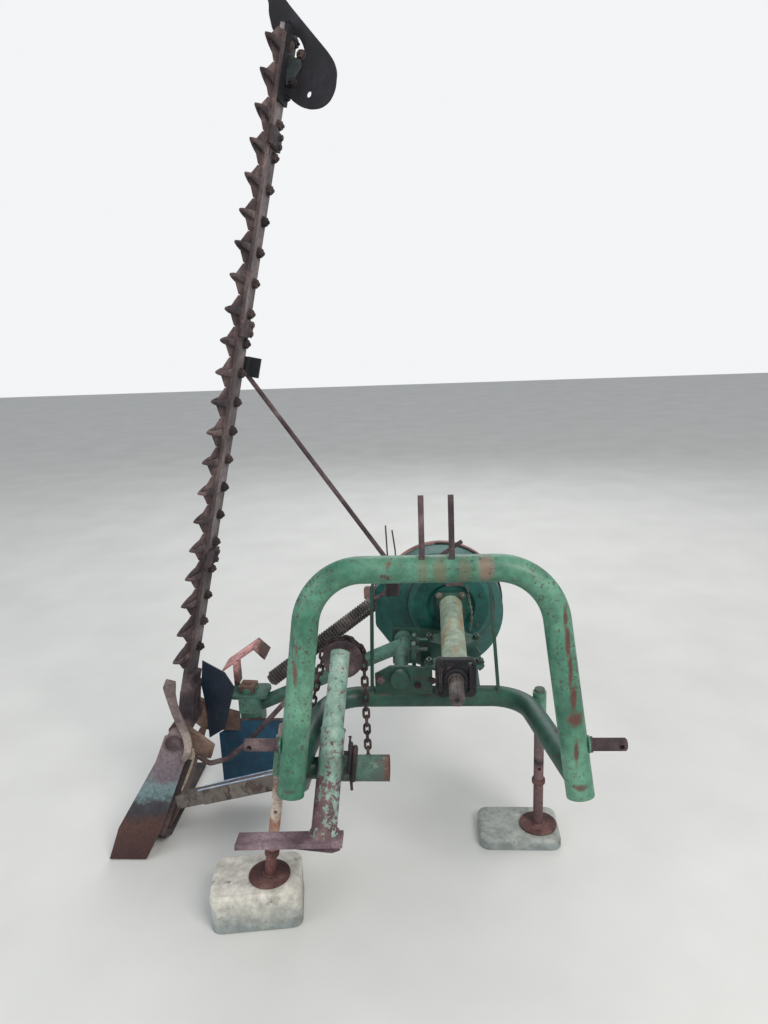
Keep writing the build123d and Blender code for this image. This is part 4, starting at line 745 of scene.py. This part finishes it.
def guard_bar():
    """Back bar, its slotted guards, a little bent, and a bolt through each."""
    back = Form().block(-128, 1590, -35, 35, -12, 0, BAR)
    put("bar_back", back, "bar", bar_rust, ["cutter_bar"], 1.5)
    guards, bolts = Form(), Form()
    for i in range(GUARD_COUNT):
        x, bend = i * GUARD_PITCH, rng.uniform(-3, 3)
        for rows in (GUARD_BODY, GUARD_LIP):
            reach = rows[-1][0] - GUARD_BEND_FROM
            guards.loft([squared_ring(x + bend * max(0, row[0] - GUARD_BEND_FROM) / reach, *row) for row in rows], BAR)
        bolts.bolt(bar_frame(x, -15, 0), 20, 10, thread=9)
        bolts.bolt(bar_frame(x, -15, -12), 19, 8, washer=False, thread=0)
    put("guards", guards, "bar", guard_rust, ["cutter_bar"], 0.5, 50)
    put("guard_bolts", bolts, "bar", dark_rust)


def knife_look():
    """Riveted sections with ground flanks under the knife back."""
    form = Form()
    for i in range(GUARD_COUNT):
        x = (i - 0.5) * GUARD_PITCH
        low = [(x + 1, 40), (x + 75.2, 40), (x + 75.2, 72), (x + 44.2, 108), (x + 32, 108), (x + 1, 72)]
        high = [(x + 1, 40), (x + 75.2, 40), (x + 75.2, 67), (x + 41, 102), (x + 35.2, 102), (x + 1, 67)]
        form.loft([[(*p, 1.0) for p in low], [(*p, 1.7) for p in low], [(*p, 4.0) for p in high]], BAR)
        for rivet in (24, 52):
            form.lathe([(4.6, 0), (4.4, 0.4), (3.6, 0.7), (1, 0.8)], 14, bar_frame(x + rivet, 49, 10))
    back = GUARD_PITCH * (GUARD_COUNT - 0.5)
    form.block(-GUARD_PITCH / 2 - 6, back, 40, 58, 4, 10, BAR)
    put("knife_sections", form, "knife_slide", knife_rust, ["knife"], 0.35, 25)


def clip_bolts():
    """Bolt through each knife clip."""
    form = Form()
    for i in (3, 11, 17):
        for side in (-11, 11):
            form.bolt(bar_frame((i + 0.5) * GUARD_PITCH + side, -16, 10), 13, 6, thread=0)
    put("clip_bolts", form, "bar", guard_rust)


# Outer shoe: its outline and opening as (distance along the bar, distance to its upper side)
SHOE_OUTLINE = ((1445, 2), (1443, 14), (1431, 29), (1420, 52), (1416, 80), (1423, 107), (1440, 125), (1468, 134),
                (1508, 131), (1530, 119), (1546, 103), (1604, 31), (1648, -23), (1690, -62), (1690, -84), (1664, -84),
                (1640, -65), (1617, -62), (1574, -43), (1560, -10), (1555, 0))
SHOE_OPENING = ((1525, 4), (1527, 44), (1541, 44), (1557, 36), (1571, 24), (1579, 8), (1570, 2), (1545, 2))


def holed_plate(form, outline, holes, low, high, place):
    """Flat plate with holes, from z = low to high."""
    loops = [list(outline)] + [list(h) for h in holes]
    flat = [Vector((x, y, 0)) for loop in loops for x, y in loop]
    triangles = tessellate_polygon([[Vector((x, y, 0)) for x, y in loop] for loop in loops])
    n = len(flat)
    points = [(p.x, p.y, low) for p in flat] + [(p.x, p.y, high) for p in flat]
    faces = [tuple(t) for t in triangles] + [tuple(n + i for i in reversed(t)) for t in triangles]
    start = 0
    for loop in loops:
        count = len(loop)
        faces += [(start + i, start + (i + 1) % count, n + start + (i + 1) % count, n + start + i)
                  for i in range(count)]
        start += count
    return form.add(points, faces, place)


def outer_shoe_look():
    """Swath shoe with its rounded end, opening and hole, and the bracket that bolts it on."""
    plane = frame_matrix(BAR @ Vector((0, -4, 0)), BAR_U, BAR_N, -BAR_G)
    outline = rounded(SHOE_OUTLINE, 30, 4)
    hole = [(1449 + 8 * math.cos(t), 71 + 6 * math.sin(t)) for t in (math.pi * k / 8 for k in range(16))]
    plate = holed_plate(Form(), outline, [rounded(SHOE_OPENING, 8, 3), hole], 0, 8, plane)
    plate.block(1420, 1590, -34, 34, 0, 9, BAR)
    plate.block(1586, 1592, -36, 36, -14, 9, BAR)
    for x in (1440, 1500, 1560):
        plate.bolt(bar_frame(x, -16, 9), 19, 8)
    put("outer_shoe_plate", plate, "bar", black_iron, ["outer_shoe"], 1.2)
    bracket = Form().prism(rounded([(1458, 12), (1480, 8), (1524, 6), (1522, 40), (1504, 44), (1476, 30)], 6), -6, 0, plane)
    put("outer_shoe_bracket", bracket, "bar", grey_green, (), 1.0)
    front = [(1548, 2, 22), (1533, 37, 17), (1470, 26, 15)]
    nuts = Form()
    for x, n, across in front:
        nuts.bolt(frame_matrix(plane @ Vector((x, n, 0)), BAR_N, BAR_U, BAR_G), across, 9)
    put("outer_shoe_bolts", nuts, "bar", dark_rust)


# Lift lever's chain and pulley

PULLEY_FACE = Vector((-228, 300.1, 531.6))
CHAIN_MIDDLE = PULLEY_FACE + Vector((0, 16, 0))
CHAIN_WRAP = 53.2
CHAIN_PITCH = 22
LINK_WIRE = 3.5
LINK_HALF = 7.2


def chain_point(s, low_left, left, right, low_right):
    """Point of the chain's way at a length s from its left end."""
    first = (left - low_left).length
    turn = math.pi * CHAIN_WRAP
    if s < first:
        return low_left.lerp(left, s / first)
    if s < first + turn:
        angle = math.pi - (s - first) / CHAIN_WRAP
        return CHAIN_MIDDLE + Vector((math.cos(angle), 0, math.sin(angle))) * CHAIN_WRAP
    return right.lerp(low_right, (s - first - turn) / (low_right - right).length)


def chain_links():
    """Round-wire links over the pulley, each turned a quarter from the last."""
    reach = Vector((CHAIN_WRAP, 0, 0))
    ways = (CHAIN_MIDDLE - reach + Vector((-52, 0, -200)), CHAIN_MIDDLE - reach, CHAIN_MIDDLE + reach,
            CHAIN_MIDDLE + reach + Vector((0, 0, -330)))
    total = (ways[1] - ways[0]).length + math.pi * CHAIN_WRAP + (ways[3] - ways[2]).length
    count = int(total / CHAIN_PITCH)
    form = Form()
    along_y = Vector((0, 1, 0))
    for i in range(count):
        a, b = (chain_point(total * k / count, *ways) for k in (i, i + 1))
        direction = (b - a).normalized()
        side = direction.cross(along_y).normalized() if i % 2 else along_y
        ring = []
        for end in (1, -1):
            for k in range(9):
                t = math.pi * (k / 8 - 0.5)
                ring.append((a + b) / 2 + direction * end * LINK_HALF * (1 + math.cos(t))
                            + side * end * LINK_HALF * math.sin(t))
        form.tube(ring, LINK_WIRE, 8, True)
    put("chain_links", form, "lever", chain_steel, ["lift_chain"])


def pulley_look():
    """Grooved wheel with rolled flanges."""
    section = [(10.2, 0), (15, 0), (17, 1.4), (38, 2.2), (44, 0.6), (50, 0), (52, 1.2), (52, 3.4), (49.5, 5), (42, 7.5),
               (40, 10), (40, 22), (42, 24.5), (49.5, 27), (52, 28.6), (52, 30.8), (50, 32), (10.2, 32)]
    wheel = Form().lathe(section, 72, looking(PULLEY_FACE, (0, 1, 0)), True)
    put("pulley_wheel", wheel, "chain_pulley", rust, ["pulley"])


def shackle():
    """Rusty twisted links that hang over the lever's cross tube."""
    form = Form()
    for x, low, high, radius in ((-195, 364, 436, 5.2), (-186, 344, 426, 5.8)):
        width = radius * 1.5
        ring = []
        for end, z in ((1, high - width), (-1, low + width)):
            for k in range(9):
                t = math.pi * (k / 8 - 0.5)
                ring.append((x + 0.12 * (z - low), 62 - width * end * math.sin(t) * 0.9,
                             z + end * width * math.cos(t)))
        form.tube(ring, radius, 10, True)
    form.tube([(-190, 62, 430), (-188, 60, 446), (-186, 62, 456), (-190, 64, 452)], 2.6, 8)
    form.tube([(-204, 62, 412), (-178, 62, 412)], 5.5, 12)
    form.tube([(-190, 61, 360), (-190, 58, 336), (-190, 60, 318)], 3.4, 8)
    put("shackle", form, "lever", chain_steel)


# Drive

PTO = Vector((57, 0, 534))


def drive_bolts():
    """Bolts of the tube's flange, of the gussets and of the pivot's plate."""
    bright, painted, rusty = Form(), Form(), Form()
    for side in (-1, 1):
        bright.bolt(looking((PTO.x + side * 34, 655, PTO.z + 34), (0, -1, 0)), 15, 8, dome=True)
        painted.bolt(looking((PTO.x + side * 34, 655, PTO.z - 34), (0, -1, 0)), 15, 8)
        for y in (304, 456):
            tip = (PTO.x + side * 64, y, PTO.z - 14)
            painted.bolt(looking(tip, (0, 0, 1)), 17, 9)
            painted.bolt(looking((tip[0], y, tip[2] - 8), (0, 0, -1)), 17, 7)
    for x, z, across in ((-136, 456, 17), (-38, 439, 13), (0, 452, 13)):
        rusty.bolt(looking((x, 340, z), (0, -1, 0)), across, 7)
    put("flange_bolts", bright, "frame", worn_steel)
    put("drive_bolts", painted, "frame", deep)
    put("pivot_bolts", rusty, "frame", rust)


def plate_bolts():
    """The boss's lip on the drive stub's plate, and the centre on the stub's end."""
    form = Form()
    place = looking((PTO.x, 176, PTO.z), (0, -1, 0))
    form.lathe([(20.6, -2), (20.8, 1.6), (22.5, 2.6), (26, 2.2), (28, 0.4), (28.5, -2)], 48, place, True)
    put("boss_lip", form, "frame", black_iron)
    end = looking((PTO.x, 80, PTO.z), (0, -1, 0))
    centre = Form().lathe([(5.6, -1), (5.6, 0.25), (0.5, 0.25), (0.5, -1)], 24, end, True)
    put("stub_centre", centre, "drive_shaft", black_iron)


def drum_details():
    """Dark seam round the drum's front, its rubber edge and the front ring's bolts."""
    seam = [(PTO.x + 128.6 * math.cos(t), 666.5, PTO.z + 128.6 * math.sin(t))
            for t in (2 * math.pi * k / 72 for k in range(72))]
    edge = [(28 + 191 * math.cos(t), 815, 490 + 191 * math.sin(t)) for t in
            (math.radians(a) for a in range(-62, 97, 3))]
    form = Form().tube(seam, 1.6, 6, True)
    form.tube(edge, 4.2, 10)
    put("drum_seam", form, "frame", black_iron)
    bolts = Form()
    for a in (22, 78, 142, 202, 258, 322):
        t = math.radians(a)
        bolts.bolt(looking((PTO.x + 97 * math.cos(t), 653, PTO.z + 97 * math.sin(t)), (0, -1, 0)), 10, 4, thread=0)
    put("drum_bolts", bolts, "frame", teal)


def hanging_wires():
    """Thin chain beside the drive tube, and the spring clip over the stay's stud."""
    chain = Form()
    points = [Vector(p) for p in ((105, 636, 606), (109, 634, 580), (113, 633, 555), (117, 632, 530), (118, 632, 505),
                                  (115, 634, 480), (112, 636, 462))]
    count = 17
    way = divided(points, 3)
    for i in range(count):
        a, b = way[len(way) * i // count], way[min(len(way) * (i + 1) // count, len(way) - 1)]
        direction = (b - a).normalized()
        side = Vector((1, 0, 0)) if i % 2 else Vector((0, 1, 0))
        ring = [(a + b) / 2 + direction * 6.2 * math.cos(t) + side * 2.6 * math.sin(t)
                for t in (2 * math.pi * k / 10 for k in range(10))]
        chain.tube(ring, 1.0, 6, True)
    put("thin_chain", chain, "frame", worn_steel)
    clip = [(-124, 588, 806), (-122, 588, 730), (-119, 588, 668), (-108, 588, 655), (-98, 588, 668), (-99, 588, 732),
            (-106, 588, 792)]
    wire = Form().tube(arc_path(clip, 9), 2.2, 8)
    put("stay_clip", wire, "frame", dark_rust)


def arch_welds():
    """Weld beads where the lugs and the hitch pins meet the arch."""
    form = Form()
    lean = math.radians(11)
    up = Vector((0, math.sin(lean), math.cos(lean)))
    back = Vector((0, math.cos(lean), -math.sin(lean)))
    top = Vector((0, 0, 471)) + up * 385
    for x in (-14, 50):
        for side in (-1, 1):
            line = []
            for k in range(13):
                offset = side * 20 * (k / 12)
                height = math.sqrt(30.15 ** 2 - offset ** 2)
                line.append(top + Vector((x, 0, 0)) + back * offset + up * height)
            form.weld(line, 3.4, seed=int(x) + side + 40)
    for side in (-1, 1):
        form.weld(circle((side * 334, 0, 471), (1, 0, 0), 16.5, 30), 3.0, True, seed=side + 5)
    put("arch_welds", form, "frame", green)


def lever_welds():
    """Weld beads at the lever's foot and its joint."""
    foot, top = Vector((-243, -36, 289)), Vector((-228, 270, 565.6))
    along = (top - foot).normalized()
    joint = foot.lerp(top, 0.53)
    form = Form()
    form.weld(circle(joint - along * 1, along, 27.4, 36), 3.2, True, seed=3)
    form.weld(circle(foot - along * 10 + Vector((0, 2, -3)), (0, 0.12, 0.99), 31, 36), 4.0, True, seed=4)
    put("lever_welds", form, "lever", mint)


# Lower arm and shoe

YOKE_Y = 526

def shoe_details():
    """Pale worn rail of the sole, the board's rim, the painted highlight along the strut's upper edges and the yoke's
    block.
    """
    rail = Form().tube([(-652, 327, 262), (-655, 326, 240), (-669, 325, 205), (-687, 324, 165), (-708, 322, 125),
                        (-731, 320, 80)], 5.5, 12, radii=[3, 7, 9, 9, 8, 4])
    put("sole_rail", rail, "lower_arm", pale_steel)
    rim = Form().tube([(-627, 491.5, 256.5), (-425, 491.5, 256.5)], 3.6, 10)
    put("board_rim", rim, "lower_arm", rust)
    start, end = Vector((-366, 113, 313)), Vector((-684, 274, 139.5))
    along = (end - start).normalized()
    across = along.cross(Vector((0, 0, 1))).normalized()
    up = across.cross(along)
    # Two pale blue-white lines on the strut's upper edges: painted highlight.
    edge = Form()
    for offset in (-15, 9):
        a = start + along * 4 + up * 20.6 + across * offset
        edge.tube([a, a + along * 284], 2.0, 8)
    put("strut_edge_highlight", edge, "lower_arm", blue_highlight)
    block = Form().prism(rounded([(-24, -22), (22, -24), (27, 20), (-20, 25)], 5), -2, 20,
                         frame_matrix(at(-540, YOKE_Y, 334), (1, 0, 0), (0, 1, 0), (0, 0, 1)))
    block.prism([(-9, -8), (10, -9), (9, 9), (-8, 8)], 20, 27,
                frame_matrix(at(-540, YOKE_Y, 334), (1, 0, 0), (0, 1, 0), (0, 0, 1)))
    put("yoke_block", block, "lower_arm", web_rust, (), 2.0)


def strap_look():
    """Worn strap that curves from its hooked top down past the hinge."""
    rows = ((-691, 325, 465, 26), (-697, 325, 443, 34), (-696, 324, 426, 28), (-691, 320, 402, 24),
            (-683, 314, 376, 23), (-670, 304, 351, 23), (-658, 292, 336, 22), (-648, 280, 322, 21),
            (-642, 268, 304, 20), (-644, 262, 292, 19), (-647, 258, 281, 17), (-656, 256, 272, 13))
    spine = [Vector(row[:3]) for row in rows]
    sections = []
    for i, (centre, row) in enumerate(zip(spine, rows)):
        along = (spine[min(len(rows) - 1, i + 1)] - spine[max(0, i - 1)]).normalized()
        side = along.cross(Vector((0, 1, 0))).normalized() * row[3] / 2
        depth = side.cross(along).normalized() * 4
        sections.append([tuple(centre + side * a + depth * b) for a, b in ((-1, -1), (1, -1), (1, 1), (-1, 1))])
    put("curved_strap", Form().loft(sections), "lower_arm", strap_steel, ["nose_strap"], 1.4, 50)


def stand_details():
    """Turned rim and weld on each stand's disc, and the collars on the tubes."""
    for name, body, spot, top, lean in (("left", "left_leg", (-396.5, 47), 95.2, (0.1513, 0.0549, 0.987)),
                                        ("right", "right_leg", (276, 332), 28.2, (0, 0, 1))):
        foot = Vector((*spot, top))
        along = Vector(lean).normalized()
        form = Form()
        form.lathe([(49.2, 1), (49.8, 3), (49.2, 5.4), (46, 6), (42, 5.4)], 56, looking(foot, (0, 0, 1)))
        form.weld(circle(foot + along * 6.4, along, 15.5, 30), 3.6, True, seed=9)
        collar = 56 if name == "left" else 128
        form.lathe([(13.2, 0), (17, 0.6), (17.6, 3), (17.6, 11), (17, 13.4), (13.2, 14)], 32,
                   looking(foot + along * collar, along))
        put(name + "_stand_rim", form, body, disc_rust)


spring_coil()
guard_bar()
knife_look()
clip_bolts()
outer_shoe_look()
chain_links()
pulley_look()
shackle()
drive_bolts()
plate_bolts()
drum_details()
hanging_wires()
arch_welds()
lever_welds()
shoe_details()
strap_look()
stand_details()

for node_name, (material, slot, width) in LOOKS.items():
    if node_name in replaced:
        continue
    if width:
        shown = soften(node_name, width)
    else:
        shown = nodes[node_name]
    shown.data.materials.clear()
    shown.data.materials.append(material)

# Stage

world = bpy.data.worlds.new("studio")
bpy.context.scene.world = world
world.use_nodes = True
tree = world.node_tree
background = tree.nodes["Background"]
background.inputs["Color"].default_value = (0.93, 0.96, 1.0, 1)
background.inputs["Strength"].default_value = 0.56
white = tree.nodes.new("ShaderNodeBackground")
white.inputs["Color"].default_value = (0.90, 0.91, 0.92, 1)
white.inputs["Strength"].default_value = 1.0
path_node = tree.nodes.new("ShaderNodeLightPath")
blend_node = tree.nodes.new("ShaderNodeMixShader")
tree.links.new(path_node.outputs["Is Camera Ray"], blend_node.inputs[0])
tree.links.new(background.outputs[0], blend_node.inputs[1])
tree.links.new(white.outputs[0], blend_node.inputs[2])
tree.links.new(blend_node.outputs[0], tree.nodes["World Output"].inputs["Surface"])


def lamp(name, place, target, energy, size, colour=(1, 1, 1)):
    data = bpy.data.lights.new(name, "AREA")
    data.energy = energy
    data.size = size
    data.color = colour
    obj = bpy.data.objects.new(name, data)
    obj.location = place
    obj.rotation_euler = (Vector(target) - Vector(place)).to_track_quat("-Z", "Y").to_euler()
    bpy.context.scene.collection.objects.link(obj)


lamp("key", (2.6, -3.4, 4.2), (0, 0, 0.6), 185, 2.2, (1.0, 0.97, 0.92))
lamp("fill", (-3.4, -2.6, 2.4), (0, 0, 0.8), 60, 3.0, (0.92, 0.96, 1.0))
lamp("back", (0.5, 3.6, 3.4), (0, 0, 0.8), 70, 3.0)

floor_mesh = bpy.data.meshes.new("floor")
floor_mesh.from_pydata([(-14, -14, -0.002), (14, -14, -0.002), (14, 14, -0.002), (-14, 14, -0.002)], [], [(0, 1, 2, 3)])
floor = bpy.data.objects.new("floor", floor_mesh)
bpy.context.scene.collection.objects.link(floor)
g = Graph("pale_floor")
soft = g.ramp(g.noise(3.0, 3, 0.5), [(0.3, srgb(206, 206, 203)), (0.7, srgb(214, 214, 211))])
floor_mesh.materials.append(g.out(soft, 0.9))

# Camera fitted to the photograph: its place and turns in the machine's frame
CAMERA_PLACE = (16.0, -1498.0, 1379.0)
YAW, PITCH, ROLL = math.radians(3.91), math.radians(14.32), math.radians(2.21)
ahead = Vector((-math.sin(YAW) * math.cos(PITCH), math.cos(YAW) * math.cos(PITCH), -math.sin(PITCH)))
level = Vector((math.cos(YAW), math.sin(YAW), 0))
down0 = ahead.cross(level)
right = level * math.cos(ROLL) + down0 * math.sin(ROLL)
down = -level * math.sin(ROLL) + down0 * math.cos(ROLL)
camera_data = bpy.data.cameras.new("camera")
camera_data.sensor_fit = "VERTICAL"
camera_data.sensor_height = 36.0
camera_data.lens = 769.2 / 1024 * 36.0
camera_data.clip_end = 100
camera = bpy.data.objects.new("camera", camera_data)
turn = Matrix.Identity(4)
for i, axis in enumerate((right, -down, -ahead)):
    turn[0][i], turn[1][i], turn[2][i] = axis
turn.translation = at(*CAMERA_PLACE)
camera.matrix_world = turn
bpy.context.scene.collection.objects.link(camera)
bpy.context.scene.camera = camera
bpy.context.scene.view_settings.view_transform = "Standard"

bpy.context.view_layer.update()
